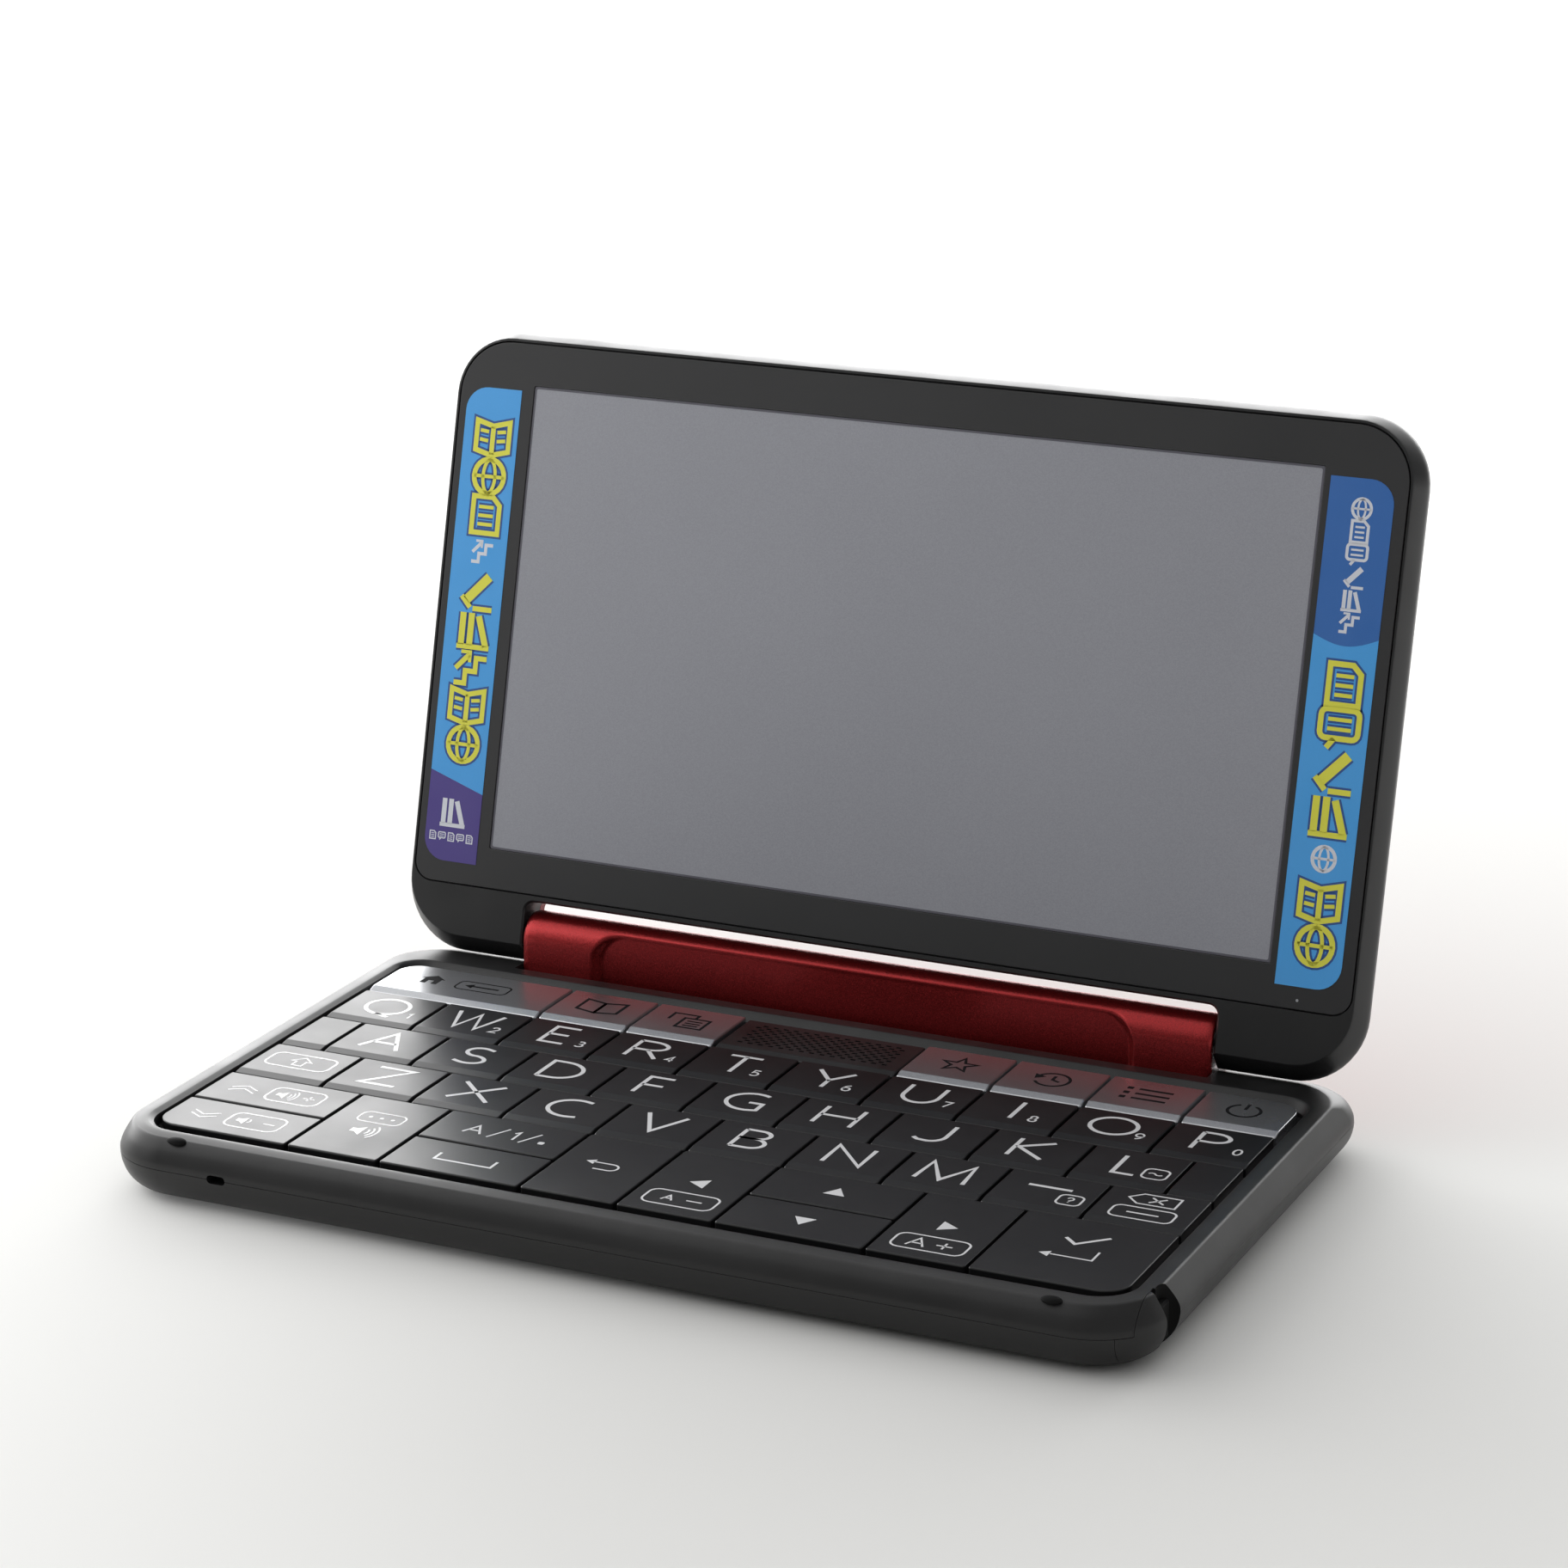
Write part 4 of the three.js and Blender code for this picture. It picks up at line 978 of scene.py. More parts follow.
class Sign(Enum):
    """The signs on the caps, each with the Legend methods that print it."""

    HOUSE = (
        ("patch", moved([
            (0.0, 1.0), (-1.0, 0.22), (-0.72, 0.22), (-0.72, -0.85), (-0.24, -0.85), (-0.24, -0.15),
            (0.24, -0.15), (0.24, -0.85), (0.72, -0.85), (0.72, 0.22), (1.0, 0.22),
        ], -6.9, 0.2, 1.9)),
        ("frame", 8.4, 3.4, 1.6, 0.1), ("triangle", -0.6, 0.1, 0.8, 180), ("line", [(-0.6, 0.1), (4.2, 0.1)], 0.5),
    )
    BOOK = tuple(
        ("line", [(0.0, 1.7), (3.2 * side, 2.5), (3.2 * side, -1.7), (0.0, -2.5)], 0.5, True) for side in (-1, 1)
    )
    PAGES = (
        ("line", [(-3.2, 0.0), (-3.2, 2.6), (0.6, 2.6), (0.6, 1.2)], 0.46),
        ("line", [(-1.0, 1.2), (3.0, 1.2), (3.0, -2.6), (-1.0, -2.6)], 0.46, True),
        *(("line", [(-0.2, y), (2.2, y)], 0.4) for y in (0.1, -0.8, -1.7)),
    )
    STAR = (("line", star_points(), 0.46, True),)
    CLOCK = (
        ("line", arc(0, 0, 2.5, 2.5, 150, -150, 26), 0.46), ("line", [(0, 1.5), (0, 0), (1.2, -0.6)], 0.46),
        ("triangle", -2.3, 0.6, 0.9, 250),
    )
    LIST = tuple(
        step for y in (1.8, 0.0, -1.8)
        for step in (("patch", boxed(0.9, 0.9, 0.15, -3.1, y)), ("line", [(-1.8, y), (3.2, y)], 0.6))
    )
    POWER = (
        ("line", moved(arc(0, 0, 1.0, 1.0, 118, 422, 28), 0.0, -0.1, 2.3), 0.46),
        ("line", moved([(0, 0.2), (0, 1.15)], 0.0, -0.1, 2.3), 0.46),
    )
    SHIFT = (
        ("frame", 10.0, 5.0),
        ("line", [
            (0, 1.6), (-1.6, 0.1), (-0.75, 0.1), (-0.75, -1.5), (0.75, -1.5), (0.75, 0.1), (1.6, 0.1),
        ], 0.24, True),
    )
    DASH = (("line", [(-3.0, 0.9), (3.1, 0.9)], 0.62), ("frame", 3.3, 3.4, 3.9, -2.2),
            ("glyph", "?", 1.0, 1.7, 3.9, -2.2, 0.26))
    ERASE = (
        ("line", [(-3.6, 2.3), (-2.0, 4.0), (3.2, 4.0), (3.2, 0.6), (-2.0, 0.6)], 0.3, True),
        ("line", [(-0.6, 3.2), (1.4, 1.4)], 0.32), ("line", [(-0.6, 1.4), (1.4, 3.2)], 0.32),
        ("frame", 8.6, 3.9, 0.0, -2.6), ("line", [(-2.2, -2.6), (2.2, -2.6)], 0.36),
    )
    PAGE_UP = (("paging", 1),)
    PAGE_DOWN = (("paging", -1),)
    VOICE = (
        ("line", boxed(6.6, 3.6, 1.1, 0.0, 3.4), 0.26, True),
        *(("patch", boxed(0.6, 0.6, 0.28, x, 3.4)) for x in (-1.7, 0.0, 1.7)), ("speaker", -0.2, -1.7, 1.7, 3),
    )
    LETTER_MODE = (
        ("glyph", "a", 2.6, 2.8, -4.2, 0.0, 0.34), ("line", [(-1.6, -1.9), (0.2, 1.9)], 0.28),
        ("glyph", "1", 1.5, 2.8, 1.9, 0.0, 0.34), ("line", [(3.2, -1.9), (5.0, 1.9)], 0.28),
        ("patch", boxed(0.9, 0.9, 0.3, 6.2, -0.9)),
    )
    SPACE = (("line", [(-4.2, 1.2), (-4.2, -1.0), (4.2, -1.0), (4.2, 1.2)], 0.4),)
    BACK = (
        ("line", moved(
            [(-0.9, 0.45), (0.45, 0.45)] + arc(0.45, -0.05, 0.5, 0.5, 90, -90, 10) + [(-0.5, -0.55)], 0.0, 0.6, 2.2
        ), 0.3),
        ("triangle", -2.31, 1.59, 0.748, 180),
    )
    LEFT = (("sizing", 180, 1.5, 1.6),)
    RIGHT = (("sizing", 0, 2.4, 2.6), ("line", [(2.1, -4.6), (2.1, -6.6)], 0.3))
    UP = (("triangle", -0.1, 0.0, 1.45, 90),)
    DOWN = (("triangle", -0.1, 0.0, 1.45, -90),)
    ENTER = (
        ("line", [(-2.6, 3.9), (-0.8, 2.2), (2.8, 5.8)], 0.5),
        ("line", moved([(1.1, 0.75), (1.1, -0.3), (-0.9, -0.3)], 0.0, -1.2, 2.8), 0.3),
        ("triangle", -3.22, -2.04, 0.84, 180),
    )


# ---- Keyboard ----


@dataclass(frozen=True)
class KeyCell:
    """A cell of the keyboard, in columns and rows. A key without a sign carries its own letter."""

    name: str
    start: float
    end: float
    row: float
    rows: float = 1.0
    corner: str = ""
    sign: Sign | None = None
    digit: str = ""
    digit_offset: float = 0.0


BLOCK_ROWS = 1.69
HALF_BLOCK = BLOCK_ROWS / 2


def key_cells() -> list[KeyCell]:
    """Lists every key."""
    cells = [
        KeyCell("home", 0, 2, 0, 1, "rear_left", Sign.HOUSE),
        KeyCell("subject_1", 2, 3, 0, 1, "", Sign.BOOK),
        KeyCell("subject_2", 3, 4, 0, 1, "", Sign.PAGES),
        KeyCell("my_list", 6, 7, 0, 1, "", Sign.STAR),
        KeyCell("history", 7, 8, 0, 1, "", Sign.CLOCK),
        KeyCell("contents", 8, 9, 0, 1, "", Sign.LIST),
        KeyCell("power", 9, 10, 0, 1, "rear_right", Sign.POWER),
        KeyCell("shift", 0, 1, 3, 1, "", Sign.SHIFT),
        KeyCell("long_dash", 8, 9, 3, 1, "", Sign.DASH),
        KeyCell("delete", 9, 10, 3, 1, "", Sign.ERASE),
        KeyCell("page_up", 0, 1.5, 4, HALF_BLOCK, "", Sign.PAGE_UP),
        KeyCell("page_down", 0, 1.5, 4 + HALF_BLOCK, HALF_BLOCK, "front_left", Sign.PAGE_DOWN),
        KeyCell("voice", 1.5, 2.5, 4, BLOCK_ROWS, "", Sign.VOICE),
        KeyCell("letter_mode", 2.5, 4, 4, HALF_BLOCK, "", Sign.LETTER_MODE),
        KeyCell("space", 2.5, 4, 4 + HALF_BLOCK, HALF_BLOCK, "", Sign.SPACE),
        KeyCell("back", 4, 5, 4, BLOCK_ROWS, "", Sign.BACK),
        KeyCell("left", 5, 6, 4, BLOCK_ROWS, "", Sign.LEFT),
        KeyCell("up", 6, 7.5, 4, HALF_BLOCK, "", Sign.UP),
        KeyCell("down", 6, 7.5, 4 + HALF_BLOCK, HALF_BLOCK, "", Sign.DOWN),
        KeyCell("right", 7.5, 8.5, 4, BLOCK_ROWS, "", Sign.RIGHT),
        KeyCell("enter", 8.5, 10, 4, BLOCK_ROWS, "front_right", Sign.ENTER),
    ]
    digits = dict(zip("qwertyuiop", zip("1234567890", (4.5, 4.4, 4.1, 4.2, 3.4, 3.3, 4.2, 2.9, 4.2, 4.1))))
    for row, start, names in ((1, 0.0, "qwertyuiop"), (2, 0.5, "asdfghjkl"), (3, 1.0, "zxcvbnm")):
        for place, name in enumerate(names):
            digit, offset = digits.get(name, ("", 0.0))
            left = start + place
            cells.append(KeyCell(name, left, left + 1, row, digit=digit, digit_offset=offset))
    return cells


@dataclass
class Keyboard(Assembly):
    """The keys, the blank fillers beside them and the speaker grille."""

    left: float = -70.3
    column_pitch: float = 14.06
    rear: float = -10.0
    front: float = -82.1
    gap: float = 0.5
    top: float = 9.2
    silver_rise: float = 0.2
    bottom: float = 6.3
    edge: float = 0.2
    silver_edge: float = 0.26
    cap_corner: float = 0.35
    field_corner: float = 3.6
    slope_run: float = 1.7
    slope_drop: float = 0.24
    silver_run: float = 1.45
    silver_drop: float = 0.46
    block_edge: float = 0.3
    block_drop: float = 0.05
    soft: float = 0.12
    grille_top: float = 9.05
    grille_drop: float = 0.3
    grille_hole: float = 0.8
    grille_pitch: float = 1.6
    letter_height: float = 6.3
    letter_stroke: float = 0.63
    letter_shift: float = -0.25
    digit_size: Flat = (1.15, 2.0)
    digit_place: float = -2.2
    digit_stroke: float = 0.3

    @property
    def row_pitch(self) -> float:
        """Depth of one row."""
        return (self.rear - self.front) / (4 + BLOCK_ROWS)

    def area(self, cell: KeyCell, grow: float = 0.0) -> Area:
        """Gives the outline of the cap in a cell.

        Args:
            cell: The cell.
            grow: How far the outline moves out, for the hole that the cap stands in.

        Returns:
            The outline.
        """
        margin = self.gap / 2 - grow
        radii = {name: self.cap_corner for name in ("front_left", "front_right", "rear_right", "rear_left")}
        if cell.corner:
            radii[cell.corner] = self.field_corner + grow
        return Area(
            self.left + cell.start * self.column_pitch + margin,
            self.left + cell.end * self.column_pitch - margin,
            self.rear - (cell.row + cell.rows) * self.row_pitch + margin,
            self.rear - cell.row * self.row_pitch - margin,
            **radii,
        )

    def cap(self, area: Area, top: float, edge: float, run: float, drop: float, corner: bool) -> bmesh.types.BMesh:
        """Builds a cap: upright sides, a rounded upper edge and a sloped front strip.

        Args:
            area: Its outline.
            top: Height of its flat top.
            edge: Radius of its upper edge.
            run: Depth of the sloped strip.
            drop: How far the strip falls.
            corner: Whether one corner is wide, which then takes more steps.

        Returns:
            The mesh in millimetres.
        """
        steps = 14 if corner else 4
        rings = [area.ring(self.bottom, steps), area.ring(top - edge - drop - 0.05, steps)]
        for angle in EDGE_TURNS:
            inward = edge * (1 - math.cos(angle))
            rings.append(area.drawn_in(inward).ring(top - edge + edge * math.sin(angle), steps))
        made = Form.lofted(rings).mesh()
        crease, soft = area.y0 + run, self.soft
        for y in (crease + soft, crease + soft / 3, crease - soft / 3, crease - soft):
            geometry = made.verts[:] + made.edges[:] + made.faces[:]
            bmesh.ops.bisect_plane(made, geom=geometry, plane_co=(0, y, 0), plane_no=(0, 1, 0), dist=1e-5)
        fall = drop / run
        for vertex in made.verts:
            ahead = crease - vertex.co.y
            if vertex.co.z < top - edge - 0.001 or ahead < -soft:
                continue
            if ahead < soft:
                vertex.co.z -= fall * (ahead + soft) ** 2 / (4 * soft)
            else:
                vertex.co.z -= fall * ahead
        return made

    def key(self, cell: KeyCell) -> bpy.types.Object:
        """Builds one key with its legend."""
        area = self.area(cell)
        silver, block = cell.row == 0, cell.row >= 4
        top, edge, run, drop = self.top, self.edge, self.slope_run, self.slope_drop
        if silver:
            top, edge, run, drop = top + self.silver_rise, self.silver_edge, self.silver_run, self.silver_drop
        elif block:
            run, drop = self.block_edge, self.block_drop
        made = self.cap(area, top, edge, run, drop, bool(cell.corner))
        form = Form()
        flat_front = area.y0 + (0.0 if block else run)
        legend = Legend(form, (area.x0 + area.x1) / 2, (flat_front + area.y1) / 2, top)
        if cell.sign is None:
            width, shift = GLYPH_WIDTHS[cell.name], self.letter_shift
            legend.glyph(cell.name, width, self.letter_height, shift, 0.0, self.letter_stroke)
            if cell.digit:
                legend.glyph(cell.digit, *self.digit_size, cell.digit_offset, self.digit_place, self.digit_stroke)
            if cell.name == "l":
                legend.frame(3.4, 3.5, 3.9, -1.6)
                legend.line(arc(3.4, -1.75, 0.5, 0.4, 160, 20, 6) + arc(4.35, -1.5, 0.5, 0.4, 200, 340, 6), 0.26)
        else:
            for method, *values in cell.sign.value:
                getattr(legend, method)(*values)
        add_form(made, form)
        node = f"key_{cell.name}"
        slot, finishes = (Slot.SILVER, (SILVER, DARK_INK)) if silver else (Slot.KEY, (KEY, LIGHT_INK))
        return dress(item_from(made, f"cap_{cell.name}", STANDING), node, finishes, node)

    def blanks(self) -> None:
        """Builds the two blank fillers at the ends of the home row."""
        for name, start, end in (("blank_cap_left", 0, 0.5), ("blank_cap_right", 9.5, 10)):
            area = self.area(KeyCell(name, start, end, 2))
            made = self.cap(area, self.top, self.edge, self.slope_run, self.slope_drop, False)
            dress(item_from(made, name, STANDING), self.body.value, (KEY,))

    def grille(self) -> None:
        """Builds the speaker grille with its staggered square holes."""
        area = self.area(KeyCell("grille", 4, 6, 0))
        made = self.cap(area, self.grille_top, self.edge, self.silver_run, self.grille_drop, False)
        piece = item_from(made, "speaker_grille", STANDING)
        holes = Form()
        half = self.grille_hole / 2
        middle_x = (area.x0 + area.x1) / 2
        middle_y = (area.y0 + self.silver_run + area.y1) / 2
        for line in range(10):
            count = 15 if line % 2 == 0 else 14
            y = middle_y + (line - 4.5) * self.grille_pitch / 2
            for place in range(count):
                x = middle_x + (place - (count - 1) / 2) * self.grille_pitch
                holes.block((x - half, y - half * 0.6, self.bottom + 1), (x + half, y + half * 0.6, self.top + 1))
        carve(piece, [holes], STANDING)
        dress(piece, self.body.value, (CASE,))

    def build(self) -> None:
        """Builds every key, the fillers and the grille."""
        for cell in key_cells():
            self.key(cell)
        self.blanks()
        self.grille()


# ---- Base ----


def pin_bores(bay_half: float, height: float) -> Form:
    """Makes the bores of both hinge pins, which go outwards from the barrel's bay."""
    bores = Form()
    for side in (-1, 1):
        bores.bore((side * (bay_half - OVERRUN), 0, height), (side * (bay_half + PIN_REACH), 0, height), PIN_BORE)
    return bores


@dataclass
class BaseCase(Assembly):
    """The base: an upper and a lower case, with what is fixed to them."""

    keyboard: Keyboard
    half_width: float = 75.49
    reach: float = 89.0
    rim_height: float = 9.62
    parting: float = 5.5
    seam: float = 0.1
    front_corner: float = 10.5
    rear_corner: float = 9.5
    ear_radius: float = 4.0
    deck_slope: float = math.radians(16)
    bay_half: float = 54.5
    bay_front: float = -4.2
    bay_fall: tuple[Flat, ...] = ((-6.2, 9.65), (-5.95, 9.58), (-5.65, 9.43), (-4.1, 8.4), (-4.1, 12.0), (-6.2, 12.0))
    lips: tuple[tuple[float, ...], ...] = (
        (3.3, 3.3, 3.4, -8.0, 9.6, 6.4, 4.9), (3.95, 3.85, 4.0, -8.15, 9.62, 6.0, 4.7),
        (4.15, 4.0, 4.2, -8.27, 9.59, 5.8, 4.6), (4.4, 4.1, 4.35, -8.42, 9.5, 5.6, 4.5),
        (4.95, 4.2, 4.5, -8.75, 9.3, 5.4, 4.3), (5.05, 4.25, 4.6, -8.95, 9.15, 5.2, 4.1),
        (5.1, 4.35, 4.8, -9.7, 8.6, 5.0, 3.9), (5.1, 4.4, 4.9, -9.93, 8.4, 5.0, 3.9),
        (5.1, 4.4, 4.9, -9.95, 7.8, 5.0, 3.9),
    )
    web_top: float = 7.8
    well_gap: float = 0.09
    foot_height: float = 0.4
    floor_top: float = 1.6
    inner_side: float = 3.2
    rail: float = 5.4
    stylus_inset: float = 2.9
    stylus_height: float = 3.7
    stylus_bore: float = 1.65
    stylus_end: float = -9.6
    shaft_end: float = -10.0
    cap_rear: float = -80.0
    cap_upper_inset: float = 2.5
    cap_lower_inset: float = 4.4
    notch_rear: float = -75.9
    notch_radius: float = 2.75
    # Outer and inner inset, from the notch's wall, of the black sheet of painted shade in the finger notch.
    shade_sheet: Flat = (0.01, 0.06)
    corner_inset: float = 13.0
    screw_inset: float = 24.0
    screw_radius: float = 2.1
    screw_bore: float = 2.35
    cover: tuple[float, ...] = (-37, 37, -67, -21, 2.0)
    cover_recess: tuple[float, ...] = (74.3, 46.3, 2.1, 0.0, -44.0)
    cover_screw: Flat = (-31, -44)
    mat: tuple[float, ...] = (138.5, 70.0, 4.0, 0.0, -46.0)
    mat_levels: Flat = (5.14, 5.28)
    jack: Flat = (-30, 3.35)
    jack_radius: float = 1.8
    port: tuple[float, ...] = (-49.8, -42.2, 2.05, 4.65, 1.0)
    microphone: tuple[float, ...] = (-57.25, -54.45, 4.85, 6.05, 0.58)
    socket_depth: float = 2.4
    bumper: Place = (62.8, -87.25, 9.3)
    bumper_size: Place = (1.45, 0.95, 0.46)
    foot_turning: tuple[Flat, ...] = ((0, 3.8), (0.1, 3.92), (0.3, 4.0), (1, 4.0))
    upper_wall: tuple[Flat, ...] = (
        (5.44, 0.06), (5.46, 0.02), (5.6, 0.0), (5.9, 0.03), (6.2, 0.09), (6.45, 0.18), (6.7, 0.3),
        (7.0, 0.45), (7.3, 0.62), (7.8, 0.92), (8.3, 1.22), (8.8, 1.51), (9.1, 1.69), (9.22, 1.78),
        (9.31, 1.9), (9.37, 2.05), (9.41, 2.25), (9.44, 2.5),
    )
    lower_wall: tuple[Flat, ...] = (
        (0.4, 4.8), (0.43, 4.3), (0.5, 3.9), (0.6, 3.5), (0.8, 2.85), (1.1, 2.25), (1.6, 1.6), (2.2, 1.05),
        (2.8, 0.68), (3.4, 0.4), (4.0, 0.2), (4.5, 0.1), (5.0, 0.03), (5.24, 0.0), (5.38, 0.02), (5.4, 0.06),
    )
    front_share: float = 1.66 / 2.45

    def rear_edge(self, height: float) -> float:
        """Gives the rear edge's Y at a height: round about the lower axis, then sloping up to the deck."""
        start = LOWER_HEIGHT + self.ear_radius * math.cos(self.deck_slope)
        if height > start:
            return self.ear_radius * math.sin(self.deck_slope) - (height - start) / math.tan(self.deck_slope)
        return math.sqrt(max(self.ear_radius ** 2 - (height - LOWER_HEIGHT) ** 2, 0.0))

    def wall_rings(self, wall: Sequence[Flat], front_share: float) -> list[list[Vector]]:
        """Gives the rings up a wall, whose front share of the inset grows to 1 at the rim."""
        rings = []
        for z, side in wall:
            share = front_share + (1 - front_share) * min(max((z - 8.0) / 1.35, 0.0), 1.0)
            x, y0 = self.half_width - side, -self.reach + side * share
            area = Area.even(-x, x, y0, self.rear_edge(z), self.front_corner - side, self.rear_corner - side)
            rings.append(area.ring(z))
        return rings

    def upper_case(self) -> None:
        """Builds the upper case: wall, rim, well and the web between the keys."""
        rings = self.wall_rings(self.upper_wall, self.front_share)
        x, y0 = self.half_width, -self.reach
        for left, right, front, rear_y, height, front_corner, rear_corner in self.lips:
            area = Area.even(-x + left, x - right, y0 + front, rear_y, front_corner, rear_corner)
            rings.append(area.ring(height))
        wells = Form()
        for cell in key_cells():
            area = self.keyboard.area(cell, self.well_gap)
            wells.loft([area.ring(z, 4) for z in (self.parting - OVERRUN, self.web_top + OVERRUN)])
        cuts = [wells] + self.shared_cuts(self.cap_upper_inset)
        self.piece("base_upper_shell", Form.lofted(rings), CASE, Slot.CASE, "base_upper_case", cuts)

    def shared_cuts(self, cap_inset: float) -> list[Form]:
        """Makes the solids that are cut from both cases: barrel bay, pin bores, stylus space and microphone slot.

        Args:
            cap_inset: How far the stylus cap reaches in from the right side.

        Returns:
            The cutting solids.
        """
        bay, front, bore = Form(), Form(), Form()
        top, ahead = self.rim_height + OVERRUN, -self.reach - OVERRUN
        bay.block((-self.bay_half, self.bay_front, -OVERRUN), (self.bay_half, 12, top))
        end = self.bay_half - 0.02
        fall = Form.lofted([ring_at(0, x, self.bay_fall) for x in (-end, end)])
        corner = (self.half_width - cap_inset - 0.06, ahead, -OVERRUN)
        front.block(corner, (self.half_width + OVERRUN, self.cap_rear + 1.2, top))
        x = self.half_width - self.stylus_inset
        ends = [(x, y, self.stylus_height) for y in (self.cap_rear - 0.5, self.stylus_end)]
        bore.bore(*ends, self.stylus_bore)
        outline = Area.even(*self.microphone).path()
        slot = Form.lofted([ring_at(1, y, outline) for y in (ahead, -self.reach + 2)])
        return [bay, fall, pin_bores(self.bay_half, LOWER_HEIGHT), front, self.notch_rod(self.notch_radius), bore, slot]

    def notch_rod(self, radius: float) -> Form:
        """Makes the upright rod that the finger notch is cut with."""
        form = Form()
        x, y = self.half_width + OVERRUN - 2.6, self.cap_rear + 1.9
        form.bore((x, y, -OVERRUN), (x, y, self.rim_height + OVERRUN), radius, 40)
        return form

    def notch_painted_shade(self) -> None:
        """Builds a thin black sheet on the finger notch's wall: painted shade, standing in for the darkness inside the
        notch.
        """
        rings = self.wall_rings(self.lower_wall[4:-2], 1.0) + self.wall_rings(self.upper_wall[2:-2], self.front_share)
        outer, inner = (self.notch_rod(self.notch_radius - inset) for inset in self.shade_sheet)
        piece, ahead = outer.item("notch_painted_shade", self.place), Form()
        carve(piece, [Form.lofted(rings)], self.place, "INTERSECT")
        ahead.block((-OVERRUN, -self.reach - 9, -9), (self.half_width + 9, self.cap_rear + 1.15, 19))
        carve(piece, [inner, ahead], self.place)
        # The black rubber finish here is painted shade: a dark sheet where the notch only holds shade.
        dress(piece, self.body.value, (RUBBER,))

    def lower_case(self) -> None:
        """Builds the lower case: a tray with a stylus rail at its right side."""
        rings = self.wall_rings(self.lower_wall, 1.0)
        x = self.half_width
        for side, height in ((self.inner_side, self.parting - self.seam), (self.inner_side + 0.4, self.floor_top)):
            area = Area.even(-x + side, x - self.rail, -self.reach + side, self.bay_front - 3.2, 7.0, 2.0)
            rings.append(area.ring(height))
        recess, screws, jack = Form(), Form(), Form()
        recess.slab(boxed(*self.cover_recess), -1.0, self.foot_height + 1.1)
        for place in self.corners(self.screw_inset):
            screws.bore((*place, -1), (*place, 1.05), self.screw_bore, 28)
        depths = (-x - 1, -x + self.socket_depth)
        jack.bore(*((depth, *self.jack) for depth in depths), self.jack_radius, 28)
        outline = Area.even(*self.port).path()
        port = Form.lofted([ring_at(0, depth, outline) for depth in depths])
        cuts = self.shared_cuts(self.cap_lower_inset) + [recess, screws, jack, port]
        self.piece("base_lower_shell", Form.lofted(rings), CASE, Slot.CASE, "base_lower_case", cuts)

    def corners(self, inset: float) -> list[Flat]:
        """Gives a place near each corner of the underside, at an inset from the sides."""
        return [
            (side * (self.half_width - inset), y)
            for side in (-1, 1) for y in (-self.reach + self.corner_inset, -self.corner_inset)
        ]

    def fittings(self) -> None:
        """Builds the small pieces on the case: bumpers, feet, screws and sockets."""
        bumpers, feet = Form(), Form()
        x, y, z = self.bumper
        across, along, rise = self.bumper_size
        for side in (-1, 1):
            rings = []
            for angle in (-QUARTER + math.pi * (step + 0.02) / 8.04 for step in range(9)):
                outline = oval(side * x, y, across * math.cos(angle), along * math.cos(angle), 20)
                rings.append(ring_at(2, z + rise * math.sin(angle), outline))
            bumpers.loft(rings)
        self.piece("rim_bumpers", bumpers, RUBBER)
        for place in self.corners(self.corner_inset):
            feet.rod((*place, 0), (*place, 0.45), self.foot_turning, 40)
        self.piece("rubber_feet", feet, RUBBER)
        self.screws("case_screws", self.corners(self.screw_inset), self.foot_height + 0.45)
        x = -self.half_width
        profile = ((0.25, 1.78), (0.25, 1.45), (0.5, 1.3), (2.2, 1.25), (2.2, 1.78))
        rings = [ring_at(0, x + depth, oval(*self.jack, radius, radius, 32)) for depth, radius in profile]
        self.piece("earphone_jack", Form.lofted(rings, True), STEEL, Slot.STEEL)
        shell = Area.even(*self.port).drawn_in(0.1)
        profile = ((0.3, 0.0), (0.3, 0.2), (2.2, 0.2), (2.2, 0.0))
        port = Form.lofted([ring_at(0, x + depth, shell.drawn_in(inset).path()) for depth, inset in profile], True)
        port.block((x + 0.7, -48.6, 3.1), (x + 2.3, -43.4, 3.6))
        self.piece("charging_port", port, STEEL, Slot.STEEL)

    def screws(self, name: str, places: Sequence[Flat], height: float) -> None:
        """Builds cross-head screws that face down.

        Args:
            name: The piece's name.
            places: The middle of each head.
            height: Height of the heads' faces.
        """
        form, cross = Form(), Form()
        arms = [corner * 1j ** turn for turn in range(4) for corner in (0.62 - 0.22j, 0.62 + 0.22j, 0.22 + 0.22j)]
        plus = [(corner.real, corner.imag) for corner in arms]
        radius = self.screw_radius
        turned = ((0, radius * 0.8), (0.1, radius * 0.93), (0.4, radius), (1, radius))
        for x, y in places:
            form.rod((x, y, height), (x, y, height + 0.5), turned)
            cross.slab(moved(plus, x, y, radius), height - 0.2, height + 0.3)
        self.piece(name, form, BLACK_STEEL, Slot.STEEL, cuts=[cross])

    def battery_cover(self) -> None:
        """Builds the battery cover with its finger grooves and its screw."""
        area = Area.even(*self.cover)
        low = self.foot_height
        levels = ((0.25, low), (0.07, low + 0.06), (0.0, low + 0.2), (0.0, 1.4))
        form = Form.lofted([area.drawn_in(inset).ring(z, 8) for inset, z in levels])
        grooves, hole = Form(), Form()
        for line in range(5):
            outline = boxed(14, 0.7, 0.34, 0.0, -30.5 + 1.6 * line)
            grooves.slab(outline, low - 1, low + 0.3)
        hole.bore((*self.cover_screw, -1), (*self.cover_screw, 1), 2.3, 28)
        self.piece("battery_door", form, CASE, Slot.CASE, "battery_cover", [grooves, hole])
        self.screws("battery_door_screw", [self.cover_screw], low + 0.25)

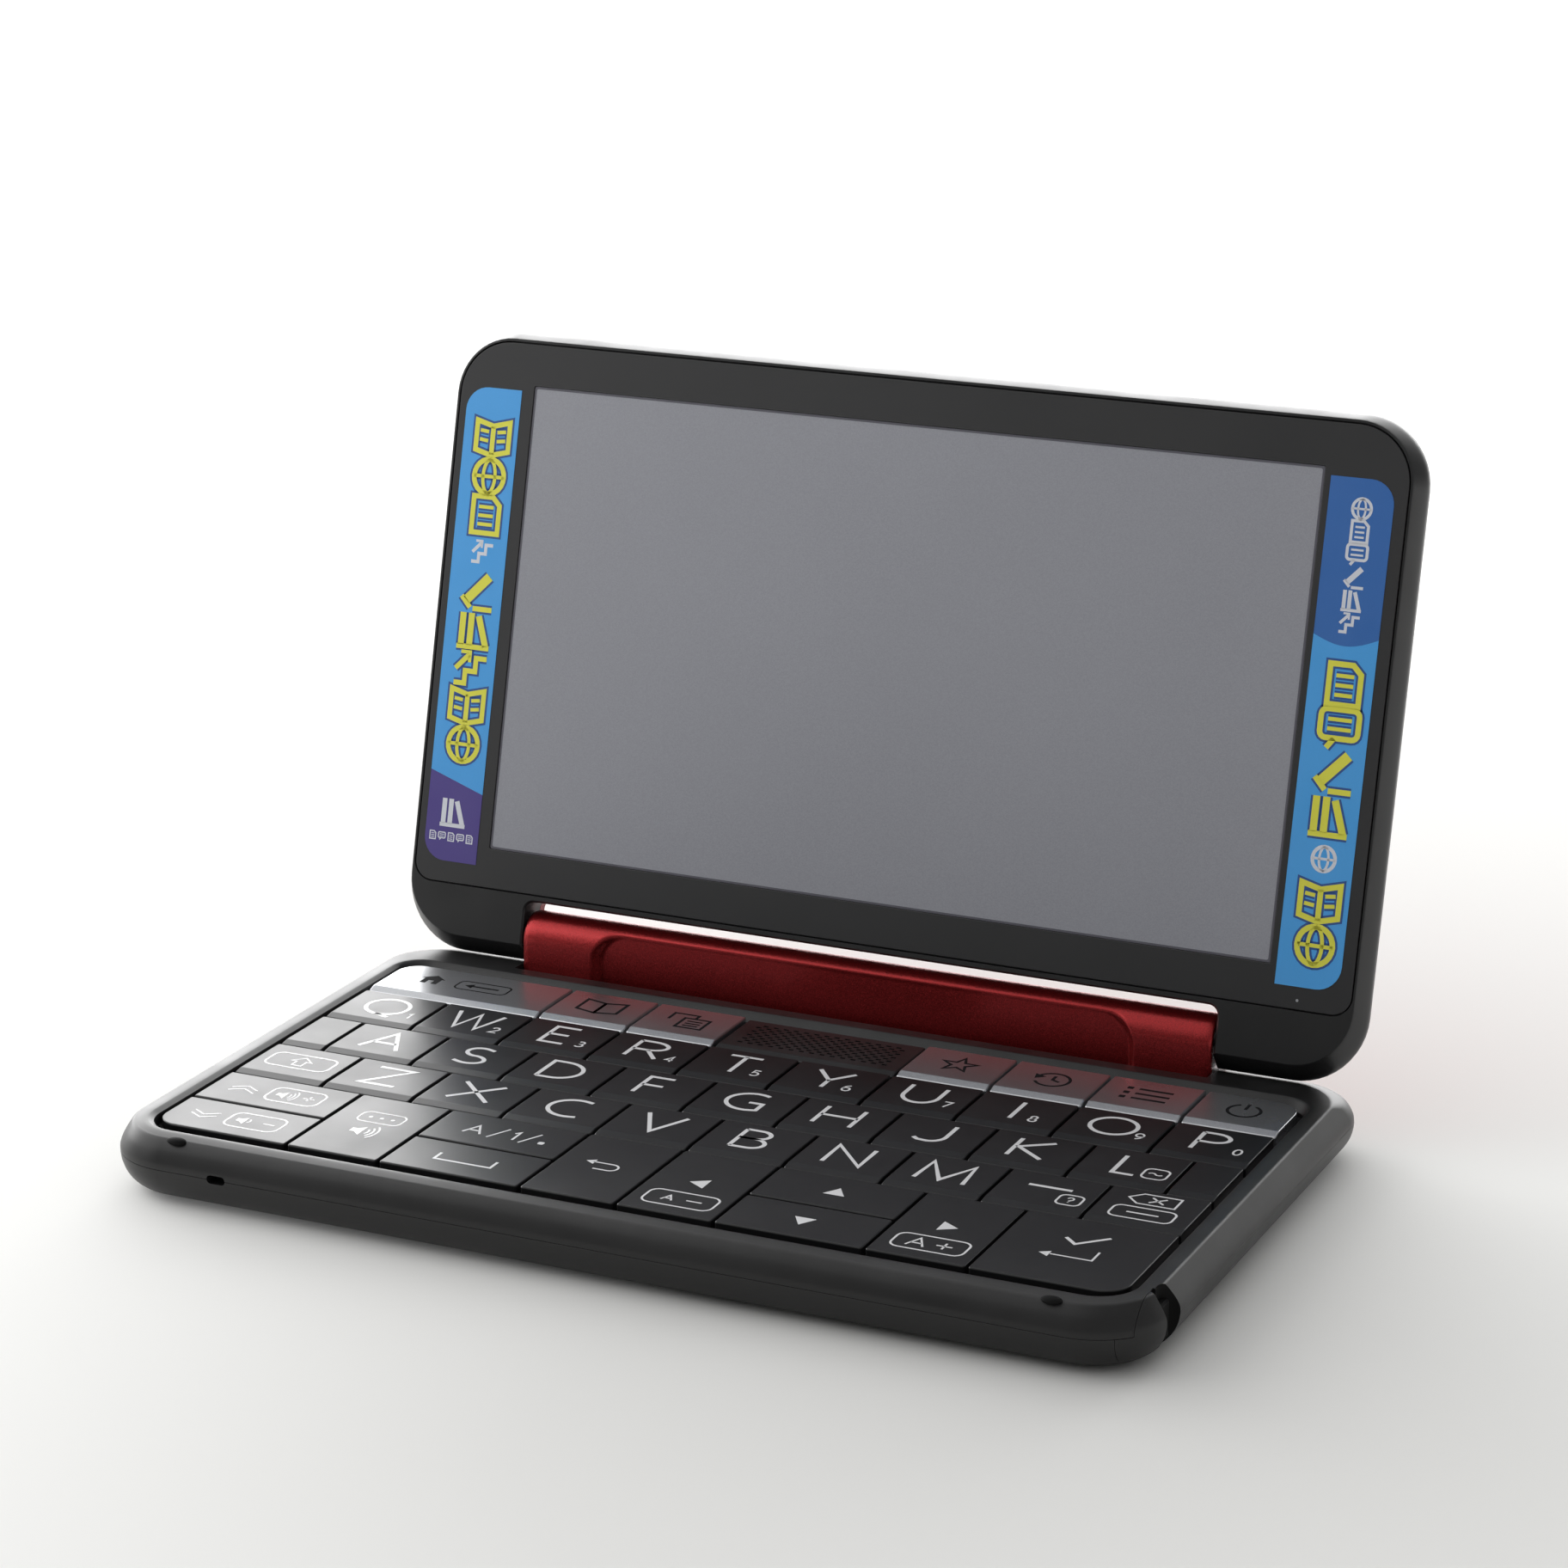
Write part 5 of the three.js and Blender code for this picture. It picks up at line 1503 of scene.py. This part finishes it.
    def stylus(self) -> None:
        """Builds the stylus: its cap is the base's front right corner, with a neck in the finger notch."""
        rings = self.wall_rings(self.lower_wall[:-2], 1.0) + self.wall_rings(self.upper_wall[2:], self.front_share)
        cap = Form.lofted(rings).item("stylus_pen", self.place)
        x1, top = self.half_width + OVERRUN, self.rim_height + OVERRUN
        x_low, x_high = self.half_width - self.cap_lower_inset, self.half_width - self.cap_upper_inset
        split = self.parting - 0.12
        profile = [(x_low, -OVERRUN), (x1, -OVERRUN), (x1, top), (x_high, top), (x_high, split), (x_low, split)]
        keep = Form.lofted([ring_at(1, y, profile) for y in (-self.reach - OVERRUN, self.cap_rear)])
        carve(cap, [keep], self.place, "INTERSECT")
        shaft = Form()
        x, z = self.half_width - self.stylus_inset, self.stylus_height
        turned = ((0, 1.5), (0.94, 1.5), (0.95, 1.42), (0.975, 0.9), (0.992, 0.62), (0.998, 0.4), (1, 0.12))
        shaft.rod((x, self.cap_rear - 1, z), (x, self.shaft_end, z), turned, 28, 1)
        neck = Area.even(73.05, 74.35, self.cap_rear - 0.6, self.notch_rear - 0.35, 0.4)
        levels = ((0.3, 2.2), (0.0, 2.5), (0.0, 7.1), (0.3, 7.4))
        shaft.loft([neck.drawn_in(inset).ring(z, 4) for inset, z in levels], 1)
        merged = bmesh.new()
        merged.from_mesh(cap.data)
        add_form(merged, shaft, self.place)
        merged.to_mesh(cap.data)
        merged.free()
        dress(cap, Body.STYLUS.value, (CASE, RUBBER), "stylus")

    def inside(self) -> None:
        """Builds the rubber key mat and dresses the board and the battery."""
        mat = Form()
        mat.slab(boxed(*self.mat), *self.mat_levels)
        for cell in key_cells():
            area = self.keyboard.area(cell)
            middle = Vector(((area.x0 + area.x1) / 2, (area.y0 + area.y1) / 2, 5.2))
            mat.rod(middle, middle + Vector((0, 0, 0.28)), ((0, 2.4), (0.5, 2.0), (0.9, 1.3), (1, 1.0)), 16)
        self.piece("key_mat", mat, RUBBER)
        coat_node("circuit_board", BOARD)
        coat_node("battery_pack", FOIL)

    def build(self) -> None:
        """Builds the whole base."""
        self.upper_case()
        self.lower_case()
        self.keyboard.build()
        self.battery_cover()
        self.stylus()
        self.notch_painted_shade()
        self.fittings()
        self.inside()


# ---- Hinge barrel ----


@dataclass
class HingeBarrel(Assembly):
    """The barrel between base and lid, round at both axes and flat between, with a long recess in its front."""

    body = Body.BARREL
    half_depth: float = 3.9
    half_height: float = 7.8
    half_length: float = 54.2
    end_rounding: tuple[Flat, ...] = (
        (0.0, 0.55), (0.05, 0.38), (0.16, 0.24), (0.36, 0.12), (0.7, 0.04), (1.1, 0.0),
    )
    recess_half: float = 42.2
    recess_reach: float = 7.0
    recess_corner: float = 4.8
    recess_floor: float = -2.4
    recess_soft: float = 0.8
    recess_blend: float = 0.1
    wall: float = 1.0
    pocket: float = 2.6
    cable_bore: float = 1.4
    middle: float = (LOWER_HEIGHT + UPPER_HEIGHT) / 2

    def section(self, inset: float, steps: int = 136) -> Path:
        """Gives the Y and Z of the points round the section.

        Args:
            inset: How far the section is drawn in.
            steps: How many points it has.

        Returns:
            The points.
        """
        radius = self.half_depth - inset
        straight = self.half_height - self.half_depth
        half_turn = steps // 2 - 10
        points = []
        for side in (1, -1):
            for turn in (math.pi * step / half_turn for step in range(half_turn + 1)):
                height = self.middle + side * (straight + radius * math.sin(turn))
                points.append((side * radius * math.cos(turn), height))
            points += [(-side * radius, self.middle + side * straight * (1 - step / 5)) for step in range(1, 10)]
        return points

    def recess_share(self, x: float, height: float) -> float:
        """Gives how far a place is inside the recess, from 0 to 1."""
        across = abs(x) - self.recess_half + self.recess_corner
        along = abs(height - self.middle) - self.recess_reach + self.recess_corner
        outside = math.hypot(max(across, 0.0), max(along, 0.0)) + min(max(across, along), 0.0) - self.recess_corner
        share = min(max((self.recess_soft - outside) / (2 * self.recess_soft), 0.0), 1.0)
        return share * share * (3 - 2 * share)

    def settled(self, x: float, y: float, height: float) -> float:
        """Gives a surface point's Y after the recess is pressed in."""
        if y > 0:
            return y
        ahead = self.recess_floor - y
        return y + self.recess_share(x, height) * (ahead + math.hypot(ahead, self.recess_blend)) / 2

    def stations(self) -> list[Flat]:
        """Gives X and the end rounding's inset of every ring, from left to right, closest at the recess's ends."""
        left = [(-self.half_length + run, inset) for run, inset in self.end_rounding]
        edge, x = -self.recess_half, 0.0
        spans = ((-52.0, edge - 1.0, 2.0), (edge - 0.8, edge + self.recess_corner + 0.8, 0.16), (None, -0.5, 3.0))
        for start, end, step in spans:
            x = x if start is None else start
            while x < end:
                left.append((x, 0.0))
                x += step
        return left + [(-x, inset) for x, inset in reversed(left)]

    def build(self) -> None:
        """Builds the barrel's shell and dresses the hinge units."""
        form = Form.lofted([
            ring_at(0, x, [(self.settled(x, y, z), z) for y, z in self.section(inset)]) for x, inset in self.stations()
        ])
        pockets, bore = Form(), Form()
        outline = self.section(self.wall, 64)
        for side in (-1, 1):
            ends = (side * (self.half_length - self.pocket), side * (self.half_length + OVERRUN))
            pockets.loft([ring_at(0, x, outline) for x in ends])
        bore.bore(*((x, 0, self.middle) for x in (-self.half_length, self.half_length)), self.cable_bore)
        self.piece("hinge_barrel", form, RED, Slot.RED, "barrel_shell", [pockets, bore])
        coat_node("hinge_unit_left", STEEL)
        coat_node("hinge_unit_right", STEEL)


# ---- Lid ----


@dataclass
class Lid(Assembly):
    """The lid: frame, bezel, display and back cover."""

    body = Body.LID
    place = OPENED
    half_width: float = 75.35
    reach: float = 88.75
    ear: float = 4.45
    corner: float = 10.0
    face: float = -3.4
    back: float = 3.4
    seam: float = 1.84
    bay_half: float = 54.5
    bay_front: float = -4.7
    bay_chamfer: float = 0.3
    bay_corner: float = 1.5
    face_insets: tuple[float, float, float] = (1.45, 1.06, 2.6)
    back_insets: tuple[float, float, float] = (2.3, 1.8, 3.0)
    bezel_half: float = 73.45
    bezel_far: float = -87.15
    bezel_near: float = -5.8
    bezel_back: float = -2.6
    bezel_far_corner: float = 8.0
    bezel_near_corner: float = 2.8
    bezel_edge: float = 0.14
    window_edge: float = 0.1
    screen_half: float = 61.3
    screen_far: float = -81.0
    screen_near: float = -11.7
    screen_drop: float = 0.15
    face_shares: tuple[Flat, ...] = (
        (0.0, 0.0), (0.08, 0.015), (0.18, 0.07), (0.3, 0.17), (0.45, 0.32), (0.6, 0.485), (0.75, 0.655),
        (0.88, 0.81), (0.95, 0.9), (0.98, 0.945), (0.993, 0.97), (1.0, 1.0),
    )
    back_shares: tuple[Flat, ...] = ((0.72, 0.37), (0.82, 0.5), (0.9, 0.65), (0.96, 0.8), (1.0, 1.0))

    def outline(self, insets: Sequence[float], share: float, height: float) -> list[Vector]:
        """Gives a ring round the lid, drawn in by a share of the insets of its sides, far edge and ears."""
        side, far, ear = (inset * share for inset in insets)
        x = self.half_width - side
        return Area.even(-x, x, -self.reach + far, self.ear - ear, self.corner - side).ring(height)

    def opening(self, grow: float) -> Area:
        """Gives the bezel's outline, grown by a gap."""
        x = self.bezel_half + grow
        return Area.even(
            -x, x, self.bezel_far - grow, self.bezel_near + grow,
            self.bezel_far_corner + grow, self.bezel_near_corner + grow,
        )

    def window(self, grow: float, height: float, corner: float = 0.3, steps: int = 4) -> list[Vector]:
        """Gives a ring round the display, grown by a margin."""
        x = self.screen_half + grow
        return Area.even(-x, x, self.screen_far - grow, self.screen_near + grow, corner).ring(height, steps)

    def bay(self) -> Form:
        """Makes the solid that is cut from frame and back cover for the barrel."""
        area = Area.even(-self.bay_half, self.bay_half, self.bay_front, self.ear + OVERRUN, self.bay_corner, 0.5)
        wide = area.drawn_in(-self.bay_chamfer)
        return Form.lofted([
            wide.ring(self.face - OVERRUN, 8), wide.ring(self.face - 0.005, 8),
            area.ring(self.face + self.bay_chamfer, 8), area.ring(self.back + OVERRUN, 8),
        ])

    def frame_shell(self) -> None:
        """Builds the frame: the side band, the ears and the seat of bezel and display."""
        edge = ((self.seam - 0.06, 0.2), (self.seam - 0.1, 0.165), (self.seam - 0.25, 0.14), (0.9, 0.05))
        rings = [self.outline(self.back_insets, share, z) for z, share in edge]
        rings += [self.outline(self.face_insets, inward, self.face * down) for down, inward in self.face_shares]
        pocket, seat = self.opening(0.16), self.bezel_back + 0.25
        rings += [self.opening(0.24).ring(self.face), pocket.ring(self.face + 0.1), pocket.ring(seat)]
        rings += [self.window(2.45, height, 1.0, 12) for height in (seat, self.seam - 0.06)]
        cuts = [self.bay(), pin_bores(self.bay_half, 0)]
        self.piece("lid_band", Form.lofted(rings, True), LID_CASE, Slot.CASE, "lid_frame", cuts)

    def back_shell(self) -> None:
        """Builds the back cover with its slight crown."""
        edge = [(self.seam + 0.04, 0.2), (self.seam + 0.08, 0.24)]
        edge += [((self.back - 0.12) * up, inward) for up, inward in self.back_shares]
        rings = [self.outline(self.back_insets, share, z) for z, share in edge]
        for inset, drop in ((3.2, 0.07), (5.0, 0.045), (9.0, 0.02), (20.0, 0.0)):
            x, near = self.half_width - inset, self.ear - inset * 0.6 - 1.6
            area = Area.even(-x, x, -self.reach + inset, near, max(self.corner - inset, 1.0))
            rings.append(area.ring(self.back - drop))
        self.piece("lid_back", Form.lofted(rings), BACK_RED, Slot.RED, "lid_back_cover", [self.bay()])

    def bezel(self) -> None:
        """Builds the bezel with its softly rounded outer and inner edges."""
        outer = self.opening(0.0)
        rings = [outer.ring(self.bezel_back)]
        for angle in EDGE_TURNS:
            area = outer.drawn_in(self.bezel_edge * (1 - math.cos(angle)))
            rings.append(area.ring(self.face + self.bezel_edge - self.bezel_edge * math.sin(angle)))
        for angle in EDGE_TURNS:
            height = self.face + self.window_edge * (1 - math.cos(angle))
            rings.append(self.window(self.window_edge * (1 - math.sin(angle)), height, steps=12))
        rings.append(self.window(0.0, self.bezel_back, steps=12))
        self.piece("display_bezel", Form.lofted(rings, True), BEZEL, Slot.BEZEL, "bezel_panel")

    def display(self) -> None:
        """Builds the display: the film, its border and the module behind."""
        top = self.face + self.screen_drop
        film = ((-0.05, self.bezel_back + 0.6), (-0.05, top + 0.03), (-0.08, top))
        form = Form.lofted([self.window(*level) for level in film])
        form.loft([self.window(2.2, height) for height in (self.bezel_back + 0.3, self.seam - 0.4)], 2)
        border, levels = Form(), ((-0.06, top), (-0.06, top - 0.01), (-0.38, top - 0.01), (-0.38, top))
        border.loft([self.window(*level) for level in levels], 1, cyclic=True)
        self.piece("display_border", border, (BORDER, BORDER), Slot.SCREEN)
        self.piece("display_module", form, (SCREEN, BORDER, STEEL), Slot.SCREEN, "display_panel")

    def build(self) -> None:
        """Builds the whole lid."""
        self.frame_shell()
        self.back_shell()
        self.bezel()
        self.display()


LINE, THIN, THICK, PENCIL = 0.13, 0.09, 0.17, 0.24


class StripSign(Enum):
    """The plain signs on the strips, each with the path, the width and the closing of its strokes."""

    OPEN_BOOK = (
        ([(0, -0.3), (-0.46, -0.42), (-0.46, 0.32), (0, 0.44), (0.46, 0.32), (0.46, -0.42)], LINE, True),
        ([(0, -0.3), (0, 0.42)], LINE, False),
        *(([(side * 0.12, y + 0.03), (side * 0.36, y)], THIN, False) for side in (-1, 1) for y in (-0.18, 0.05)),
    )
    GLOBE = (
        (oval(0, 0, 0.42, 0.44, 24), LINE, True), (oval(0, 0, 0.17, 0.42, 20), THIN, True),
        ([(-0.42, 0), (0.42, 0)], THIN, False),
    )
    PAGE = (
        ([(-0.36, -0.46), (0.18, -0.46), (0.38, -0.26), (0.38, 0.46), (-0.36, 0.46)], LINE, True),
        *(([(-0.2, y), (0.22, y)], THIN, False) for y in (-0.2, 0.02, 0.24)),
    )
    SPEECH = (
        (boxed(0.9, 0.66, 0.14, 0.0, -0.1), LINE, True), ([(-0.1, 0.24), (-0.26, 0.46)], LINE, False),
        *(([(-0.28, y), (0.28, y)], THIN, False) for y in (-0.2, 0.02)),
    )
    PEN = (
        ([(-0.3, 0.24), (0.3, -0.4)], PENCIL, False), ([(-0.44, 0.14), (-0.18, 0.42)], LINE, False),
        ([(-0.1, 0.44), (0.44, 0.44)], LINE, False),
    )
    SHELF = (
        ([(-0.46, 0.44), (0.46, 0.44)], LINE, False), ([(-0.34, -0.42), (-0.34, 0.4)], THICK, False),
        ([(-0.1, -0.42), (-0.1, 0.4)], THICK, False), ([(0.1, -0.36), (0.36, 0.4)], THICK, False),
    )
    STEPS = (
        ([(-0.44, 0.4), (-0.14, 0.4), (-0.14, 0.08), (0.14, 0.08), (0.14, -0.26), (0.44, -0.26)], LINE, False),
        ([(-0.42, 0.04), (-0.06, -0.34)], LINE, False), ([(-0.3, -0.4), (-0.04, -0.4), (-0.04, -0.14)], THIN, False),
    )


STRIP_SIGNS = tuple(StripSign)


@dataclass
class PrintedStrips(Assembly):
    """The two printed strips beside the display with their plain signs, and the small dot."""

    body = Body.LID
    place = OPENED
    face: float = Lid.face
    thickness: float = 0.05
    left: tuple[float, float, float, float] = (-72.3, -63.3, -80.15, -8.95)
    right: tuple[float, float, float, float] = (62.25, 71.6, -79.8, -9.0)
    corner: float = 3.5
    cut_left: float = -22.45
    cut_right: float = -19.5
    bow_middle: float = -57.9
    bow_depth: float = 1.3
    dot: Flat = (65.75, -7.1)

    def plate(self, name: str, outline: Path, finish: Finish) -> None:
        """Builds one printed layer."""
        form = Form()
        form.slab(outline, self.face - 0.004, self.face - self.thickness)
        self.piece(name, form, finish, Slot.BEZEL, smooth=False)

    def signs(
        self, name: str, places: Sequence[tuple[float, float, float, int]], finish: Finish, lift: float,
        swell: float = 0.0,
    ) -> None:
        """Builds a column of plain signs.

        Args:
            name: The piece's name.
            places: X, Y, size and number of each sign.
            finish: Its finish.
            lift: Height above the face.
            swell: How much wider each stroke is, for the outline behind.
        """
        form = Form()
        low = self.face - lift
        for x, y, size, number in places:
            for path, width, closed in STRIP_SIGNS[number % len(STRIP_SIGNS)].value:
                form.ribbon(moved(path, x, y, size), width * size + swell, low, low - 0.02, 0, closed)
        self.piece(name, form, finish, Slot.BEZEL, smooth=False)

    def build(self) -> None:
        """Builds both strips and the dot."""
        r = self.corner
        x0, x1, y0, y1 = self.left
        left_end, right_end = (x0, self.cut_left), (x1, self.cut_right)
        upper = [right_end, (x1, y0)] + arc(x0 + r, y0 + r, r, r, 270, 180, 8) + [left_end]
        lower = [right_end, left_end] + arc(x0 + r, y1 - r, r, r, 180, 90, 8) + [(x1, y1)]
        self.plate("left_strip_blue", upper, SKY_BLUE)
        self.plate("left_strip_purple", lower, PURPLE)
        x0, x1, y0, y1 = self.right
        far = [(x0, y0)] + arc(x1 - r, y0 + r, r, r, -90, 0, 8)
        near = arc(x1 - r, y1 - r, r, r, 0, 90, 8) + [(x0, y1)]
        bow = [
            (x1 + (x0 - x1) * i / 12, self.bow_middle + self.bow_depth * math.sin(math.pi * i / 12)) for i in range(13)
        ]
        self.plate("right_strip_deep_blue", far + bow, DEEP_BLUE)
        self.plate("right_strip_sky_blue", bow[::-1] + near, SKY_BLUE)
        yellow = [(-67.4, -72.7 + 5.75 * i, 5.9, i) for i in range(9) if i != 3]
        yellow += [(67.4, -51.3 + 6.05 * i, 6.1, i + 2) for i in range(7) if i != 4]
        white = [(-67.3, -55.7, 3.9, 6), (67.3, -27.1, 3.9, 1)]
        white += [(67.15, -75.6 + 3.15 * i, 3.2, i + 1) for i in range(6)] + [(-67.9, -16.4, 4.6, 5)]
        white += [(-71.0 + 1.55 * i, -12.6, 1.3, 2 + i % 2) for i in range(5)]
        self.signs("strip_sign_outlines", yellow, OUTLINE_BLUE, 0.045, 0.62)
        self.signs("strip_signs_yellow", yellow, YELLOW, 0.06)
        self.signs("strip_signs_white", white, WHITE, 0.045)
        dot, middle = Form(), Vector((*self.dot, self.face + 0.05))
        dot.rod(middle, middle - Vector((0, 0, 0.09)), ((0, 0.2), (0.8, 0.2), (1, 0.12)), 16)
        self.piece("indicator_dot", dot, DOT, Slot.BEZEL)


# ---- Studio ----


@dataclass(frozen=True)
class SkyGlow:
    """A soft bright part of the surroundings, strongest along one direction."""

    name: str
    towards: Place
    strength: float
    fade: Flat
    under: Flat | None = None
    rise: Flat | None = None

    def wire(self, wiring: Wiring, direction: bpy.types.NodeSocket, up: bpy.types.NodeSocket) -> bpy.types.NodeSocket:
        """Wires the glow's strength.

        Args:
            wiring: The world's wiring.
            direction: The direction looked along.
            up: Its upward part.

        Returns:
            The strength.
        """
        facing = wiring.vectors("DOT_PRODUCT", direction, tuple(Vector(self.towards).normalized()))
        glow = wiring.span(facing, *self.fade, 0.0, self.strength)
        if self.under is not None:
            glow = wiring.maths("MULTIPLY", glow, wiring.span(up, *self.under, 1.0, 0.0))
        if self.rise is not None:
            glow = wiring.maths("MULTIPLY", glow, wiring.span(up, *self.rise, 0.2, 1.0))
        return glow


@dataclass
class Studio:
    """The camera, the lamp, the surroundings and the table."""

    eye: Place = (0.24397, -0.535631, 0.23053)
    forward: Place = (-0.39467285, 0.87204815, -0.28942247)
    right: Place = (0.91039026, 0.41371916, 0.00510225)
    lens: float = 103.54
    evenly: float = 0.075
    glows: tuple[SkyGlow, ...] = (
        SkyGlow("back_window", (-0.55, 0.83, 0.0), 6.5, (0.45, 0.8), (0.3, 0.64), (-0.02, 0.16)),
        SkyGlow("window_spill", (-0.4, 0.6, 0.7), 0.6, (0.5, 0.9)),
        SkyGlow("ceiling", (0.0, 0.0, 1.0), 0.08, (0.2, 0.8)),
        SkyGlow("right_wall", (0.85, -0.3, 0.25), 0.26, (0.3, 0.8)),
        SkyGlow("ceiling_left", (-0.4, -0.5, 0.77), 0.55, (0.7, 0.97)),
    )
    mirrored_side: Place = (-0.41, 0.91, 0.0)
    lamp_place: Place = (-0.32, -0.11, 0.22)
    lamp_target: Place = (0.0, 0.0, 0.06)
    lamp_size: float = 0.35
    lamp_radiance: float = 1.6
    table_reach: float = 3000.0
    table_white: tuple[Colour, Colour] = ((0.8, 0.798, 0.78), (0.83, 0.828, 0.81))
    painted_glow_centre: Place = (0.07, -0.08, 0.0)

    def lamp(self) -> None:
        """Adds the soft lamp at the front left."""
        data = bpy.data.lights.new("front_left_lamp", "AREA")
        data.shape = "SQUARE"
        data.size = self.lamp_size
        data.energy = self.lamp_radiance * math.pi * self.lamp_size ** 2
        lamp = bpy.data.objects.new("front_left_lamp", data)
        lamp.location = self.lamp_place
        aim = Vector(self.lamp_target) - Vector(self.lamp_place)
        lamp.rotation_euler = aim.to_track_quat("-Z", "Y").to_euler()
        bpy.context.scene.collection.objects.link(lamp)

    def camera(self) -> None:
        """Sets the camera at the photographed view."""
        data = bpy.data.cameras.new("view")
        data.sensor_width = 36.0
        data.lens = self.lens
        data.clip_start, data.clip_end = 0.01, 50.0
        ahead, right = Vector(self.forward).normalized(), Vector(self.right).normalized()
        up = right.cross(ahead).normalized()
        right = ahead.cross(up)
        turn = Matrix((right, up, -ahead)).transposed().to_4x4()
        view = bpy.data.objects.new("view", data)
        view.matrix_world = Matrix.Translation(self.eye) @ turn
        bpy.context.scene.collection.objects.link(view)
        bpy.context.scene.camera = view

    def surroundings(self) -> None:
        """Sets a white backdrop to look at and softer light to be lit by."""
        world = bpy.data.worlds.new("studio")
        bpy.context.scene.world = world
        world.use_nodes = True
        wiring = Wiring(world.node_tree)
        rays = wiring.node("LightPath").outputs
        direction = wiring.node("TexCoord").outputs["Generated"]
        up = wiring.node("SeparateXYZ", {0: direction}).outputs["Z"]
        light = self.evenly
        for glow in self.glows:
            LOG.info("added glow %s", glow.name)
            light = wiring.maths("ADD", glow.wire(wiring, direction, up), light)
        shown = wiring.maths("MAXIMUM", rays["Is Camera Ray"], rays["Is Transmission Ray"])
        behind = wiring.span(wiring.vectors("DOT_PRODUCT", direction, self.mirrored_side), 0.3, 0.7)
        mirrored = wiring.maths("MULTIPLY", rays["Is Glossy Ray"], behind)
        strength = wiring.maths("MAXIMUM", light, wiring.maths("MAXIMUM", shown, mirrored))
        backdrop = wiring.node("Background", {"Color": (1.0, 1.0, 1.0, 1.0), "Strength": strength})
        wiring.node("OutputWorld", {"Surface": backdrop.outputs[0]})

    def table(self) -> None:
        """Adds the pale table top, which keeps the object's shadow. It also glows with painted light for camera, glossy
        and transmission rays, more the further it lies from a point just right of and in front of the object, so it is
        darker near the object and a little lighter towards the back left.
        """
        form, reach = Form(), self.table_reach
        form.block((-reach, -reach, -20), (reach, reach, -0.01))
        top = form.item("table_top", Matrix.Scale(MM, 4))
        made, wiring = new_material("table_white")
        rays = wiring.node("LightPath").outputs
        place = wiring.place()
        white = wiring.blend(wiring.noise(place, 3.0, 2.0), *(tint(colour) for colour in self.table_white))
        matt = wiring.node("BsdfDiffuse", {"Color": white})
        # Painted light: the glow's strength grows with distance from the painted glow centre.
        far = wiring.span(wiring.vectors("DISTANCE", place, self.painted_glow_centre), 0.06, 0.6, 0.0, 0.55)
        shown = wiring.maths("MAXIMUM", rays["Is Camera Ray"], rays["Is Glossy Ray"])
        shown = wiring.maths("MAXIMUM", shown, rays["Is Transmission Ray"])
        strength = wiring.maths("MULTIPLY", shown, far)
        glow = wiring.node("Emission", {"Color": (1.0, 1.0, 1.0, 1.0), "Strength": strength})
        both = wiring.node("AddShader", {0: matt.outputs[0], 1: glow.outputs[0]})
        wiring.node("OutputMaterial", {"Surface": both.outputs[0]})
        top.data.materials.append(made)

    def build(self) -> None:
        """Sets the whole studio."""
        self.camera()
        self.surroundings()
        self.table()
        self.lamp()
        bpy.context.scene.view_settings.view_transform = "Standard"


def main() -> None:
    """Builds the studio and then the dictionary, piece by piece."""
    logging.basicConfig(level=logging.INFO, format="%(message)s")
    Studio().build()
    for part in (BaseCase(Keyboard()), HingeBarrel(), Lid(), PrintedStrips()):
        LOG.info("building %s", type(part).__name__)
        part.build()


if __name__ == "__main__":
    main()
